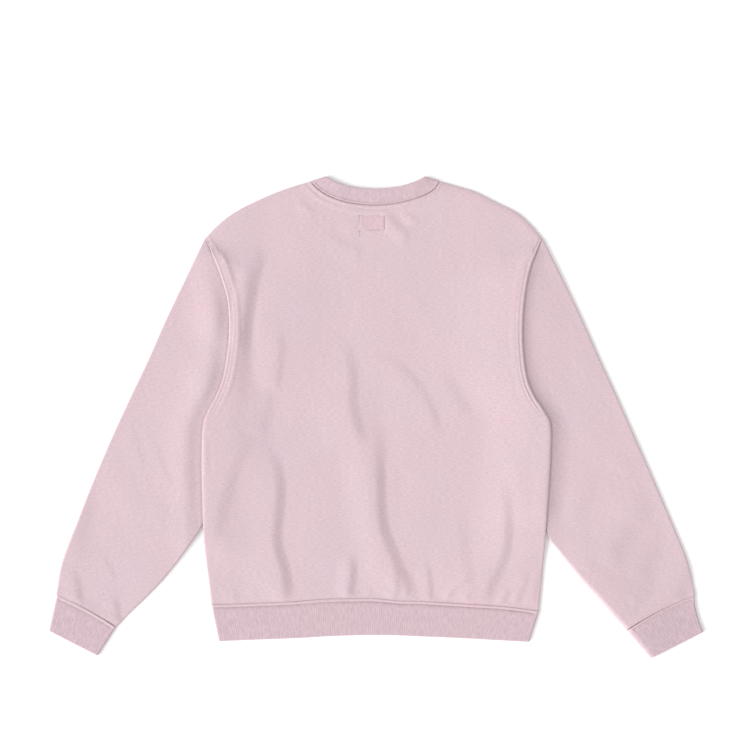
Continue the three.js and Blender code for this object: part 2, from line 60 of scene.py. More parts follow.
# Layers, as heights above the surface that the garment lies on
SLEEVE_STACK = 2 * FLEECE + SLEEVE_HOLLOW
RIB_STACK = 2 * RIB + GAP
BACK_REST = RIB + GAP
SLEEVE_LIFT = FLEECE + LAYER_GAP
BACK_RAISED = SLEEVE_LIFT + SLEEVE_STACK + LAYER_GAP
SLEEVE_CLEAR = {"left": 0.010, "right": 0.001}
SLEEVE_RAMP = {"left": 0.028, "right": 0.015}
SLEEVE_TOP_RAMP = {"left": 0.048, "right": 0.031}
EDGE_LIFT = {"left": 0.0, "right": 0.0040}
EDGE_LIFT_REACH = 0.115
EDGE_ROLL = 0.048
SHOULDER_RAMP = 0.030
SHOULDER_RAMP_INSIDE = 0.060  # further in on the back
HEM_RAMP = 0.070
NECK_SAG = 0.0010
SLIT = 0.0001  # what shows between two sewn edges
NECK_HOLLOW = {"x": -0.002, "y": 0.352, "half_width": 0.072, "depth": 0.060}
UNDERARM_ROLL = 0.0008
EDGE_INSET = 0.0025
BACK_EDGE = {"side": 0.0032, "underarm": 0.0055, "shoulder": 0.010, "neck": 0.0016, "hem": 0.0008}
SEWN_FLAT = {"start": 0.232, "end": 0.255}  # y from and to which the back's side edge flattens
FRONT_EDGE = {"side": 0.0030, "seam": 0.0012}
CUFF_SEAM_RISE = {"height": 0.0009, "width": 0.018}
CUFF_PUFF = {
    "left": {"along": [(-0.470, -0.190), (-0.500, -0.310)], "height": 0.0008, "reach": 0.110},
    "right": {"along": [(0.330, -0.262), (0.392, -0.345)], "height": 0.0078, "reach": 0.120},
}

# Body outline: side edges and armhole seams from the hem seam up to the shoulder points
BODY_ROWS = table("y left right", [
    (-0.292, -0.251, 0.248),
    (-0.264, -0.254, 0.251),
    (-0.195, -0.262, 0.257),
    (-0.120, -0.265, 0.262),
    (-0.060, -0.266, 0.2655),
    (-0.010, -0.2635, 0.265),
    (0.012, -0.255, 0.254),
    (0.030, -0.245, 0.242),
    (0.055, -0.235, 0.231),
    (0.090, -0.228, 0.225),
    (0.133, -0.224, 0.223),
    (0.180, -0.227, 0.226),
    (0.220, -0.239, 0.233),
    (0.250, -0.251, 0.2435),
    (0.272, -0.261, 0.253),
])

# Shoulder seams, from the shoulder points up to the neck points
SHOULDER_ROWS = table("y left right", [
    (0.272, -0.261, 0.253),
    (0.291, -0.243, 0.237),
    (0.310, -0.219, 0.216),
    (0.328, -0.185, 0.181),
    (0.343, -0.150, 0.151),
    (0.352, -0.124, 0.122),
    (0.359, -0.100, 0.097),
])

# Neck seams and the free edges of the collar, from the neck points down to the middle
NECK_ROWS = {
    "back": table("y left right", [
        (0.359, -0.100, 0.097),
        (0.347, -0.088, 0.089),
        (0.336, -0.070, 0.069),
        (0.327, -0.042, 0.037),
        (0.323, -0.002, -0.002),
    ]),
    "front": table("y left right", [
        (0.359, -0.100, 0.097),
        (0.330, -0.092, 0.089),
        (0.300, -0.072, 0.069),
        (0.277, -0.040, 0.037),
        (0.268, -0.002, -0.002),
    ]),
    "back_edge": table("y left right", [
        (0.367, -0.077, 0.074),
        (0.3615, -0.068, 0.065),
        (0.3555, -0.054, 0.050),
        (0.3505, -0.035, 0.031),
        (0.348, -0.002, -0.002),
    ]),
    "front_edge": table("y left right", [
        (0.367, -0.077, 0.074),
        (0.342, -0.069, 0.066),
        (0.318, -0.054, 0.051),
        (0.299, -0.030, 0.027),
        (0.292, -0.002, -0.002),
    ]),
}

# Hem seam and free edge of the hem band, across the body from left to right
HEM_ROWS = table("across seam edge", [
    (0.0, -0.286, -0.342),
    (0.125, -0.284, -0.3395),
    (0.26, -0.281, -0.337),
    (0.35, -0.2775, -0.3345),
    (0.44, -0.2765, -0.333),
    (0.5, -0.2765, -0.3325),
    (0.57, -0.280, -0.333),
    (0.645, -0.281, -0.3345),
    (0.79, -0.2855, -0.3375),
    (0.905, -0.2895, -0.3405),
    (1.0, -0.296, -0.343),
])
HEM_EDGE = {"left": -0.240, "right": 0.233}

# How far each sleeve reaches in under the body's edge
LAP_ROWS = table("y lap", [
    (0.272, -0.0001),
    (0.250, -0.0001),
    (0.228, 0.008),
    (0.200, 0.010),
    (0.060, 0.010),
    (0.018, 0.021),
    (-0.030, 0.031),
    (-0.075, 0.029),
    (-0.120, 0.019),
    (-0.170, -0.001),
])
SLEEVE_LEAVES_BODY = -0.170

# The back's slope down from the sleeve: how far inside the edge it starts, and its width
SLOPE_ROWS = {
    "left": table("y start slope", [
        (-0.175, 0.010, 0.085),
        (-0.060, 0.032, 0.080),
        (0.0, 0.027, 0.065),
        (0.045, 0.0155, 0.044),
        (0.060, 0.0155, 0.034),
        (0.095, 0.0155, 0.025),
        (0.134, 0.0160, 0.022),
        (0.190, 0.0275, 0.023),
        (0.222, 0.0390, 0.029),
        (0.236, 0.0430, 0.037),
        (0.272, 0.0450, 0.065),
    ]),
    "right": table("y start slope", [
        (-0.175, 0.010, 0.100),
        (-0.060, 0.032, 0.090),
        (0.020, 0.022, 0.090),
        (0.080, 0.012, 0.130),
        (0.200, 0.012, 0.130),
        (0.272, 0.012, 0.065),
    ]),
}

# Sleeve sections from the armhole to the cuff seam
SLEEVE_ROWS = {
    "left": table("along outer_x outer_y inner_x inner_y", [
        (0.0, -0.2616, 0.272, -0.231, 0.018),
        (0.11, -0.292, 0.209, -0.234, -0.030),
        (0.22, -0.321, 0.148, -0.237, -0.075),
        (0.33, -0.348, 0.087, -0.246, -0.120),
        (0.44, -0.377, 0.026, -0.267, -0.168),
        (0.56, -0.405, -0.035, -0.290, -0.203),
        (0.67, -0.431, -0.096, -0.320, -0.242),
        (0.78, -0.455, -0.157, -0.350, -0.274),
        (0.9, -0.479, -0.221, -0.378, -0.301),
        (1.0, -0.4885, -0.271, -0.396, -0.320),
    ]),
    "right": table("along outer_x outer_y inner_x inner_y", [
        (0.0, 0.2536, 0.272, 0.231, 0.018),
        (0.11, 0.285, 0.209, 0.234, -0.030),
        (0.22, 0.314, 0.148, 0.237, -0.075),
        (0.33, 0.341, 0.087, 0.245, -0.122),
        (0.44, 0.369, 0.026, 0.260, -0.177),
        (0.56, 0.396, -0.035, 0.281, -0.208),
        (0.67, 0.423, -0.096, 0.312, -0.247),
        (0.78, 0.449, -0.157, 0.341, -0.279),
        (0.9, 0.475, -0.221, 0.365, -0.307),
        (1.0, 0.4865, -0.272, 0.380, -0.324),
    ]),
}

# Cuffs: the seam end and the free end, each from the sleeve's outer edge to its inner one
CUFFS = {
    "left": {
        "seam": (-0.487, -0.2715, -0.397, -0.3205),
        "end": (-0.499, -0.326, -0.425, -0.364),
        "bow": 0.003,
        "waist": 0.0,
    },
    "right": {
        "seam": (0.485, -0.2725, 0.381, -0.3245),
        "end": (0.499, -0.3275, 0.418, -0.367),
        "bow": 0.004,
        "waist": 0.003,
    },
}

# Folds: a path down the middle of the steep side, how far the gentle sides reach to its left
# and right, the steep side's width, and the height between them
FOLD_CREST = 0.78  # how much of the height stands above the cloth around
FOLD_VALLEY = 0.0008
ARMHOLE_FOLDS = [
    ([(-0.180, 0.273), (-0.176, 0.236), (-0.183, 0.171)], 0.024, 0.014, 0.0009),
    ([(-0.186, 0.247), (-0.197, 0.178), (-0.203, 0.110), (-0.206, 0.090)], 0.012, 0.026, 0.0018),
    ([(-0.196, 0.160), (-0.207, 0.075), (-0.213, 0.030)], 0.012, 0.026, 0.0005),
    ([(-0.241, 0.261), (-0.226, 0.238), (-0.208, 0.194)], 0.020, 0.009, 0.0007),
    ([(-0.116, 0.285), (-0.107, 0.102), (-0.116, 0.011)], 0.049, 0.103, 0.0014),
    ([(-0.141, 0.145), (-0.145, 0.087), (-0.151, 0.033)], 0.034, 0.014, 0.0014),
    ([(-0.156, 0.050), (-0.164, 0.007), (-0.174, -0.035)], 0.034, 0.021, 0.0017),
]
WAIST_FOLDS = [
    ([(-0.177, -0.014), (-0.202, -0.055), (-0.226, -0.119), (-0.248, -0.197)], 0.049, 0.021, 0.0017),
    ([(-0.179, -0.020), (-0.153, -0.067), (-0.145, -0.115), (-0.150, -0.189), (-0.136, -0.243),
      (-0.129, -0.302)], 0.063, 0.021, 0.0045),
    ([(-0.060, 0.129), (-0.040, 0.096), (-0.034, 0.061), (-0.034, 0.015), (-0.016, -0.050)],
     0.073, 0.021, 0.0031),
    ([(-0.010, 0.087), (-0.004, -0.035), (0.003, -0.142)], 0.044, 0.037, 0.0011),
    ([(0.006, 0.015), (0.007, -0.066), (0.012, -0.159), (0.030, -0.215), (0.053, -0.264),
      (0.057, -0.298)], 0.054, 0.022, 0.0042),
    ([(0.000, -0.105), (0.007, -0.160), (0.013, -0.188)], 0.034, 0.018, 0.0011),
    ([(-0.020, 0.094), (0.030, 0.082), (0.068, 0.046), (0.088, 0.007), (0.097, -0.035)],
     0.039, 0.014, 0.0013),
    ([(0.097, 0.087), (0.117, 0.047), (0.146, -0.002)], 0.044, 0.021, 0.0010),
    ([(0.193, -0.081), (0.202, -0.148), (0.198, -0.209), (0.170, -0.270), (0.164, -0.298)],
     0.059, 0.018, 0.0032),
    ([(0.221, -0.035), (0.230, -0.127), (0.227, -0.172)], 0.044, 0.025, 0.0009),
    ([(0.131, -0.127), (0.135, -0.188), (0.147, -0.264), (0.149, -0.294)], 0.054, 0.021, 0.0011),
    ([(-0.257, -0.026), (-0.255, -0.096)], 0.005, 0.009, 0.0006),
]
HEM_FOLDS = [
    ([(-0.219, -0.249), (-0.208, -0.298)], 0.020, 0.011, 0.0006),
    ([(-0.187, -0.252), (-0.174, -0.298)], 0.017, 0.009, 0.0005),
    ([(-0.138, -0.240), (-0.141, -0.258), (-0.132, -0.302)], 0.020, 0.016, 0.0008),
    ([(-0.107, -0.261), (-0.098, -0.298)], 0.015, 0.009, 0.0003),
    ([(-0.071, -0.258), (-0.072, -0.298)], 0.017, 0.009, 0.0003),
    ([(-0.034, -0.200), (-0.034, -0.235), (-0.042, -0.294)], 0.022, 0.014, 0.0028),
    ([(-0.008, -0.252), (-0.008, -0.288)], 0.012, 0.007, 0.0006),
    ([(0.010, -0.253), (0.025, -0.276)], 0.012, 0.007, 0.0003),
    ([(0.027, -0.221), (0.033, -0.258), (0.025, -0.298)], 0.017, 0.011, 0.0012),
    ([(0.054, -0.255), (0.039, -0.288)], 0.007, 0.007, 0.0006),
    ([(0.073, -0.209), (0.082, -0.244), (0.085, -0.298)], 0.022, 0.009, 0.0014),
    ([(0.149, -0.249), (0.123, -0.261), (0.106, -0.282)], 0.010, 0.009, 0.0012),
    ([(0.144, -0.267), (0.134, -0.294)], 0.010, 0.007, 0.0009),
    ([(0.208, -0.262), (0.184, -0.294)], 0.010, 0.009, 0.0018),
    ([(0.236, -0.227), (0.227, -0.258), (0.210, -0.291)], 0.022, 0.011, 0.0014),
    ([(0.251, -0.218), (0.240, -0.294)], 0.020, 0.009, 0.0007),
]
NECK_FOLDS = [
    ([(0.007, 0.322), (0.024, 0.303), (0.039, 0.288), (0.054, 0.285)], 0.022, 0.014, 0.0017),
    ([(0.038, 0.317), (0.056, 0.305), (0.068, 0.302)], 0.010, 0.011, 0.0009),
    ([(-0.077, 0.287), (-0.052, 0.267), (-0.016, 0.258)], 0.029, 0.014, 0.0010),
    ([(-0.055, 0.299), (-0.028, 0.294)], 0.015, 0.009, 0.0004),
    ([(-0.122, 0.334), (-0.101, 0.319), (-0.095, 0.306)], 0.015, 0.009, 0.0007),
    ([(-0.077, 0.316), (-0.043, 0.312)], 0.010, 0.007, 0.0003),
]
BACK_FOLDS = ARMHOLE_FOLDS + WAIST_FOLDS + HEM_FOLDS + NECK_FOLDS
SLEEVE_FOLDS = {
    "left": [
        ([(-0.373, -0.005), (-0.363, -0.038), (-0.351, -0.078)], 0.027, 0.014, 0.0006),
        ([(-0.345, -0.020), (-0.329, -0.058), (-0.309, -0.111)], 0.025, 0.012, 0.0006),
        ([(-0.312, -0.134), (-0.330, -0.172)], 0.032, 0.018, 0.0004),
        ([(-0.461, -0.218), (-0.456, -0.246), (-0.450, -0.285), (-0.449, -0.310)], 0.027, 0.014, 0.0017),
        ([(-0.418, -0.203), (-0.409, -0.223), (-0.394, -0.249)], 0.023, 0.010, 0.0005),
        ([(-0.398, -0.270), (-0.391, -0.316)], 0.023, 0.012, 0.0015),
        ([(-0.431, -0.105), (-0.449, -0.188), (-0.456, -0.227)], 0.032, 0.028, 0.0013),
        ([(-0.348, 0.178), (-0.360, 0.133), (-0.379, 0.079)], 0.046, 0.024, 0.0006),
    ],
    "right": [
        ([(0.344, -0.081), (0.317, -0.136), (0.309, -0.172)], 0.032, 0.026, 0.0011),
        ([(0.433, -0.124), (0.379, -0.189), (0.359, -0.237)], 0.037, 0.032, 0.0018),
        ([(0.445, -0.182), (0.425, -0.203), (0.402, -0.255)], 0.037, 0.026, 0.0011),
        ([(0.347, -0.194), (0.332, -0.212), (0.326, -0.237)], 0.032, 0.024, 0.0008),
        ([(0.494, -0.205), (0.467, -0.268), (0.435, -0.330)], 0.040, 0.026, 0.0024),
        ([(0.427, -0.267), (0.387, -0.288)], 0.018, 0.010, 0.0008),
        ([(0.414, -0.020), (0.402, -0.058), (0.384, -0.096)], 0.041, 0.032, 0.0008),
    ],
}
FRONT_FOLDS = [
    ([(-0.138, 0.140), (-0.146, 0.040), (-0.140, -0.060), (-0.116, -0.180), (-0.112, -0.310)],
     0.034, 0.020, 0.0009),
    ([(0.052, 0.170), (0.074, 0.060), (0.080, -0.050), (0.066, -0.160)], 0.028, 0.026, 0.0008),
    ([(0.166, 0.060), (0.182, -0.060), (0.186, -0.160), (0.168, -0.310)], 0.024, 0.018, 0.0009),
    ([(-0.026, -0.090), (-0.034, -0.190), (-0.040, -0.310)], 0.020, 0.014, 0.0008),
    ([(-0.206, -0.020), (-0.216, -0.110), (-0.210, -0.220)], 0.018, 0.016, 0.0006),
]

# How deep the sleeve's cloth dips beside the body's edge, by height
DIP_ROWS = {
    "left": table("y dip", [
        (-0.175, 0.0), (-0.140, 0.0006), (-0.100, 0.0013),
        (-0.040, 0.0013), (0.010, 0.0017), (0.055, 0.0032),
        (0.092, 0.0009), (0.115, 0.0008), (0.150, 0.0032),
        (0.190, 0.0012), (0.225, 0.0002), (0.272, 0.0),
    ]),
    "right": table("y dip", [
        (-0.175, 0.0), (0.0, 0.0001), (0.060, 0.0013),
        (0.200, 0.0015), (0.250, 0.0003), (0.272, 0.0),
    ]),
}
SEAM_DIP = {"width": 0.0050, "depth": 0.0006}
DIP_WIDTH = {"left": 0.022, "right": 0.026}
SLEEVE_LOFT = {
    "left": {"height": 0.0028, "crown": 0.120, "foot": 0.300, "fade": 0.220},
    "right": {"height": 0.0008, "crown": 0.045, "foot": 0.300, "fade": 0.060},
}

# Small wrinkles, as waves of uneven cloth: height and size across and along
WRINKLES = table("height across along seed", [
    (0.00050, 0.055, 0.095, 3),
    (0.00016, 0.021, 0.034, 5),
    (0.00005, 0.007, 0.008, 7),
])
PUCKER = {"height": 0.00035, "spacing": 0.011, "reach": 0.016, "seed": 11}

# Ribs, welt and seams
RIB_PITCH = 0.0032
RIB_RELIEF = {"band": 0.00019, "collar": 0.00010}
POINTS_PER_RIB = 6
WELT_WIDTH = 0.0034
WELT_RELIEF = 0.0005
DITCH_WIDTH = 0.0024
DITCH_DEPTH = 0.0018
WELT_SINK = 0.0006  # at the seam, down to the cloth beside it
SEAM_DEPTH = {"left": 0.35, "right": 0.9}  # a cuff's welt and ditch, as a share of the hem's
COLLAR_RISE = 0.0020
COLLAR_LIP = {"width": 0.0034, "height": 0.0008}
NECK_SHARE = (0.31, 0.69)

# Relief beside the sewn edges, by distance from the edge. Rows of stitches lie in its hollows.
ARMHOLE_BAND = {
    "left": [(0.0, 0.0), (0.002, 0.0007), (0.0048, -0.0001), (0.0072, 0.0006), (0.0098, 0.0002),
             (0.0125, 0.0009), (0.0150, 0.0008), (0.0190, 0.0)],
    "right": [(0.0, 0.0), (0.0022, 0.0006), (0.0046, 0.0004), (0.0058, -0.0003), (0.0078, 0.0010),
              (0.0108, 0.0003), (0.0130, 0.0005), (0.0220, 0.0)],
}
BAND_NARROWS = 2.0  # towards the shoulder point
NECK_BAND = [(0.0, 0.0), (0.002, 0.0009), (0.0045, 0.0006), (0.0074, 0.0), (0.0098, 0.0006), (0.017, 0.0)]
ARMHOLE_STITCHES = {"left": (0.0048, 0.0098), "right": (0.0058, 0.0108)}
NECK_STITCHES = (0.0026, 0.0074)
HEM_STITCHES = 0.0010
HEM_GROOVE = {"width": 0.0010, "depth": 0.00015}
FRONT_GROOVE = (0.0014, -0.0004)  # width, and depth up into the cloth that rests

# Stitching
STITCH = {"length": 0.0026, "space": 0.0007, "thickness": 0.00060, "stations": 5, "sides": 6}
LABEL = {"left": -0.0264, "right": 0.0125, "bottom": 0.2850, "top": 0.3071}
LABEL_GROOVE = {"width": 0.0020, "depth": 0.0009}
LABEL_LIFT = 0.0003
LABEL_SOFT = 0.001  # half the width over which its shade fades
LABEL_TACKS = [(-0.0255, 0.2818), (-0.0255, 0.2774), (0.0148, 0.2765)]
SHOULDER_MARKS = [((0.1035, 0.3552), (0.0990, 0.3440)), ((-0.0875, 0.3345), (-0.0980, 0.3305))]

SIDES = ("left", "right")
SIGN = {"left": -1.0, "right": 1.0}


# Small mathematics

def lerp(a, b, t):
    return a + (b - a) * t


def smoothstep(start, end, value):
    t = np.clip((value - start) / (end - start), 0.0, 1.0)
    return t * t * (3 - 2 * t)


def hump(t):
    return 4 * t * (1 - t)


def read_rows(rows, key, column, at):
    """One column of a table against another, on a smooth curve through the rows."""
    ordered = sorted(rows, key=lambda row: row[key])
    x = np.array([row[key] for row in ordered])
    y = np.array([row[column] for row in ordered])
    k = np.arange(len(x))
    low, high = np.maximum(k - 1, 0), np.minimum(k + 1, len(x) - 1)
    slope = (y[high] - y[low]) / (x[high] - x[low])
    at = np.asarray(at, float)
    i = np.clip(np.searchsorted(x, at, side="left") - 1, 0, len(x) - 2)
    span = x[i + 1] - x[i]
    t = np.clip((at - x[i]) / span, 0.0, 1.0)
    t2, t3 = t * t, t * t * t
    return (
        (2 * t3 - 3 * t2 + 1) * y[i]
        + (t3 - 2 * t2 + t) * span * slope[i]
        + (3 * t2 - 2 * t3) * y[i + 1]
        + (t3 - t2) * span * slope[i + 1]
    )


def run_along(points):
    """Length of a line of points from its start to each of them."""
    return np.concatenate([[0], np.cumsum(np.hypot(*np.diff(points, axis=0).T))])


def patch(bottom, top, left, right):
    """A plan between four edges that meet at their corners."""
    def plan(u, v):
        u, v = np.broadcast_arrays(np.asarray(u, float), np.asarray(v, float))
        corners = [np.array(edge(np.array(end))) for edge in (bottom, top) for end in (0.0, 1.0)]
        b, t, l, r = bottom(u), top(u), left(v), right(v)
        return [
            lerp(b[k], t[k], v) + lerp(l[k], r[k], u)
            - lerp(lerp(corners[0][k], corners[1][k], u), lerp(corners[2][k], corners[3][k], u), v)
            for k in (0, 1)
        ]
    return plan


def noise(x, y, seed):
    """Smooth noise from -1 to 1, with its bumps one unit apart."""
    size = 64
    grid = np.random.default_rng(seed).uniform(-1, 1, (size, size))
    xi, yi = np.floor(x).astype(int), np.floor(y).astype(int)
    fx, fy = x - xi, y - yi
    sx, sy = fx * fx * (3 - 2 * fx), fy * fy * (3 - 2 * fy)
    def at(i, j):
        return grid[(yi + j) % size, (xi + i) % size]
    return lerp(lerp(at(0, 0), at(1, 0), sx), lerp(at(0, 1), at(1, 1), sx), sy)


EDGE_STATIONS = (0.0, 0.0003, 0.0007, 0.0012, 0.0018, 0.0025, 0.0033)
WELT_STATIONS = EDGE_STATIONS + (0.0037, 0.0041, 0.0045, 0.0050, 0.0056, 0.0064)
INSIDE_STATIONS = (0.0004, 0.0012, 0.0025)


def graded(length, step, near=EDGE_STATIONS, far=None):
    """Stations from 0 to 1 along a length, about one step apart and closer at both ends."""
    start, end = np.array(near), np.array(far or near)
    inner = np.linspace(start[-1], length - end[-1], max(2, round((length - start[-1] - end[-1]) / step)))
    return np.concatenate([start[:-1], inner, (length - end[:-1])[::-1]]) / length


# Outlines

def side_x(side, y):
    return read_rows(BODY_ROWS, "y", side, y)


def inside_side(side, x, y):
    return SIGN[side] * (side_x(side, y) - x)


SHOULDER_Y = SHOULDER_ROWS[0]["y"]
SHOULDER_POINT = {side: SHOULDER_ROWS[0][side] for side in SIDES}
NECK_POINT = {side: SHOULDER_ROWS[-1][side] for side in SIDES}
HEM_CORNER = {"left": HEM_ROWS[0]["seam"], "right": HEM_ROWS[-1]["seam"]}


def side_edge(side):
    def edge(v):
        y = lerp(HEM_CORNER[side] + SLIT, SHOULDER_Y, v)
        return [side_x(side, y), y]
    return edge


def hem_seam(lift):
    def edge(u):
        ends = [float(side_x(side, HEM_CORNER[side] + lift)) for side in SIDES]
        return [lerp(ends[0], ends[1], u), read_rows(HEM_ROWS, "across", "seam", u) + lift]
    return edge


def hem_free_edge(u):
    return [lerp(HEM_EDGE["left"], HEM_EDGE["right"], u), read_rows(HEM_ROWS, "across", "edge", u)]


def neck_line(rows, lift=0.0):
    """A neck line, even along its length. Half of it belongs to each side of the middle row."""
    middle, before = rows[-1], rows[-2]
    halves = {
        side: rows + [{"y": before["y"], side: 2 * middle[side] - before[side]}]
        for side in SIDES
    }
    def height(x):
        left = read_rows(halves["left"], "left", "y", x)
        right = read_rows(halves["right"], "right", "y", x)
        return np.where(x < middle["left"], left, right) + lift
    turn = np.linspace(0, np.pi, 400)
    xs = lerp(rows[0]["left"], rows[0]["right"], (1 - np.cos(turn)) / 2)
    ys = height(xs)
    run = run_along(np.stack([xs, ys], axis=1))
    def line(u):
        x = np.interp(np.asarray(u) * run[-1], run, xs)
        return [x, height(x)]
    line.length = run[-1]
    return line


def top_edge(neck):
    def edge(u):
        u = np.asarray(u, float)
        start, end = NECK_SHARE
        left_x = lerp(SHOULDER_POINT["left"], NECK_POINT["left"], np.clip(u / start, 0, 1))
        right_x = lerp(NECK_POINT["right"], SHOULDER_POINT["right"], np.clip((u - end) / (1 - end), 0, 1))
        on_neck = neck(np.clip((u - start) / (end - start), 0, 1))
        left = [left_x, read_rows(SHOULDER_ROWS, "left", "y", left_x)]
        right = [right_x, read_rows(SHOULDER_ROWS, "right", "y", right_x)]
        return [np.where(u < start, left[k], np.where(u > end, right[k], on_neck[k])) for k in (0, 1)]
    return edge


def band_plan(seam, edge):
    """A plan between a seam and a free edge, with straight ends."""
    def side(u):
        def line(v):
            start, end = seam(np.array(u)), edge(np.array(u))
            return [lerp(start[0], end[0], v), lerp(start[1], end[1], v)]
        return line
    return patch(seam, edge, side(0.0), side(1.0))


def body_plan(neck_name):
    neck = neck_line(NECK_ROWS[neck_name])
    return patch(hem_seam(SLIT), top_edge(neck), side_edge("left"), side_edge("right"))


# Heights

def lap_at(y):
    return read_rows(LAP_ROWS, "y", "lap", y)


def parted(side, x, y):
    """1 where a sleeve lies under the body's edge, falling to 0 where the layers are closed."""
    inside = inside_side(side, x, y)
    start, slope = (read_rows(SLOPE_ROWS[side], "y", key, y) for key in ("start", "slope"))
    start = np.maximum(start, lap_at(y) + EDGE_INSET)
    across = 1 - smoothstep(0, 1, (inside - start) / slope)
    leaves = SLEEVE_LEAVES_BODY - 3 * EDGE_INSET
    sewn = lerp(smoothstep(0, EDGE_ROLL, inside), 1, smoothstep(leaves - HEM_RAMP, leaves, y))
    ramp = lerp(SHOULDER_RAMP, SHOULDER_RAMP_INSIDE, smoothstep(0.004, 0.045, inside))
    below_shoulder = smoothstep(0, 1, (SHOULDER_Y - y) / ramp)
    return across * sewn * below_shoulder * smoothstep(leaves - HEM_RAMP, leaves, y)


def edge_lift(side, x, y):
    """How far the body's edge stands up, with the sleeve's cloth beside it."""
    inside = inside_side(side, x, y)
    beyond = np.clip(-inside / SLEEVE_TOP_RAMP[side], 0, 1)
    along = smoothstep(SHOULDER_Y - 0.004, 0.200, y)
    along = along * smoothstep(SLEEVE_LEAVES_BODY - 0.010, SLEEVE_LEAVES_BODY + 0.040, y)
    return EDGE_LIFT[side] * smoothstep(EDGE_LIFT_REACH, 0.0, inside) * (1 - beyond) ** 2 * along


def smooth_path(path):
    """Points on a smooth curve through a fold's places, and the share of its length at each."""
    points = np.array(path)
    at = np.linspace(0, len(points) - 1, max(12, 4 * len(points)))
    rows = [{"t": i, "x": p[0], "y": p[1]} for i, p in enumerate(points)]
    curve = np.stack([read_rows(rows, "t", "x", at), read_rows(rows, "t", "y", at)], axis=1)
    run = run_along(curve)
    return curve, run / run[-1]


def fold_height(folds, x, y):
    height = np.zeros_like(x)
    for path, left, width, rise in folds:
        add_fold(height, path, left, width, rise, x, y)
    return height


def add_fold(height, path, left, width, rise, x, y):
    """Adds a fold: a crest with its steep side to the right of it and its gentle side to the left."""
    curve, share = smooth_path(path)
    reach = left + 1.5 * width
    low, high = curve.min(0) - reach, curve.max(0) + reach
    near = (x > low[0]) & (x < high[0]) & (y > low[1]) & (y < high[1])
    px, py = x[near], y[near]
    best = np.full(px.shape, np.inf)
    side, along = np.zeros_like(px), np.zeros_like(px)
    for i, (a, b) in enumerate(zip(curve[:-1], curve[1:])):
        leg = b - a
        rx, ry = px - a[0], py - a[1]
        t = np.clip((rx * leg[0] + ry * leg[1]) / (leg @ leg), 0, 1)
        distance = np.hypot(rx - t * leg[0], ry - t * leg[1])
        closer = distance < best
        best = np.where(closer, distance, best)
        side = np.where(closer, np.sign(leg[0] * ry - leg[1] * rx), side)
        along = np.where(closer, lerp(share[i], share[i + 1], t), along)
    across = best * side + width / 2
    crest = FOLD_CREST * smoothstep(-left, 0, across) - smoothstep(0, width, across)
    profile = crest + (1 - FOLD_CREST) * smoothstep(width, width + left, across)
    height[near] += rise * profile * smoothstep(0, 0.40, along) * smoothstep(1, 0.8, along)


def wrinkles(u, v):
    """Small uneven waves, from places on the cloth in metres."""
    return sum(
        w["height"] * noise(u / w["across"] + 9, v / w["along"] + 9, w["seed"])
        for w in WRINKLES
    )


def puckers(across, from_seam):
    """Short gathers that run away from a seam with rib."""
    wave = noise(across / PUCKER["spacing"] + 31, np.zeros_like(across) + 0.5, PUCKER["seed"])
    reach = PUCKER["reach"] * (1 + 0.5 * noise(across / PUCKER["spacing"] + 7, np.full_like(across, 2.5), 2))
    return PUCKER["height"] * wave * smoothstep(reach, 0.003, from_seam) * smoothstep(0, 0.002, from_seam)


def sag_into_neck(x, y):
    hollow = NECK_HOLLOW
    reach = np.hypot((x - hollow["x"]) / hollow["half_width"], (y - hollow["y"]) / hollow["depth"])
    return NECK_SAG * smoothstep(0.85, 0.45, reach)


def cuff_puff(side, x, y):
    """A cuff and the sleeve's end stand up on one side."""
    puff = CUFF_PUFF[side]
    distance = distance_to(np.array(puff["along"]), x, y, puff["reach"])[0]
    return puff["height"] * smoothstep(puff["reach"], 0, distance)


def back_rise(x, y):
    """The back's underside without folds."""
    opened = np.maximum(parted("left", x, y), parted("right", x, y))
    lift = edge_lift("left", x, y) + edge_lift("right", x, y)
    return lerp(BACK_REST, BACK_RAISED, opened) + lift - sag_into_neck(x, y)


def underarm(x, y):
    """1 along the creases below the armholes, where cloth is turned under."""
    along = smoothstep(0.020, -0.020, y)
    along = along * smoothstep(SLEEVE_LEAVES_BODY - 0.010, SLEEVE_LEAVES_BODY + 0.030, y)
    across = np.maximum(*(smoothstep(0.045, 0.006, inside_side(side, x, y)) for side in SIDES))
    return along * across


def sleeve_underside(side, x, y):
    start = -SLEEVE_CLEAR[side]
    on_front = smoothstep(start - SLEEVE_RAMP[side], start, inside_side(side, x, y))
    return SLEEVE_LIFT * on_front * smoothstep(SHOULDER_Y, SHOULDER_Y - SHOULDER_RAMP, y)


# Distances

def curve_points(edge, count=420):
    x, y = edge(np.linspace(0, 1, count))
    return np.stack(np.broadcast_arrays(x, y), axis=1)


def distance_to(curve, x, y, limit):
    """Distance to a curve and the share of its length there. Far points get the limit."""
    flat_x, flat_y = x.ravel(), y.ravel()
    distance = np.full(flat_x.shape, limit)
    along = np.zeros(flat_x.shape)
    low, high = curve.min(0) - limit, curve.max(0) + limit
    near = np.flatnonzero((flat_x > low[0]) & (flat_x < high[0]) & (flat_y > low[1]) & (flat_y < high[1]))
    a, leg = curve[:-1], np.diff(curve, axis=0)
    length2 = (leg ** 2).sum(1)
    for part in np.array_split(near, max(1, len(near) // 4000)):
        px, py = flat_x[part][:, None], flat_y[part][:, None]
        t = np.clip(((px - a[:, 0]) * leg[:, 0] + (py - a[:, 1]) * leg[:, 1]) / length2, 0, 1)
        d = np.hypot(px - a[:, 0] - t * leg[:, 0], py - a[:, 1] - t * leg[:, 1])
        best = d.argmin(1)
        rows = np.arange(len(part))
        distance[part] = np.minimum(d[rows, best], limit)
        along[part] = (best + t[rows, best]) / len(leg)
    return distance.reshape(x.shape), along.reshape(x.shape)


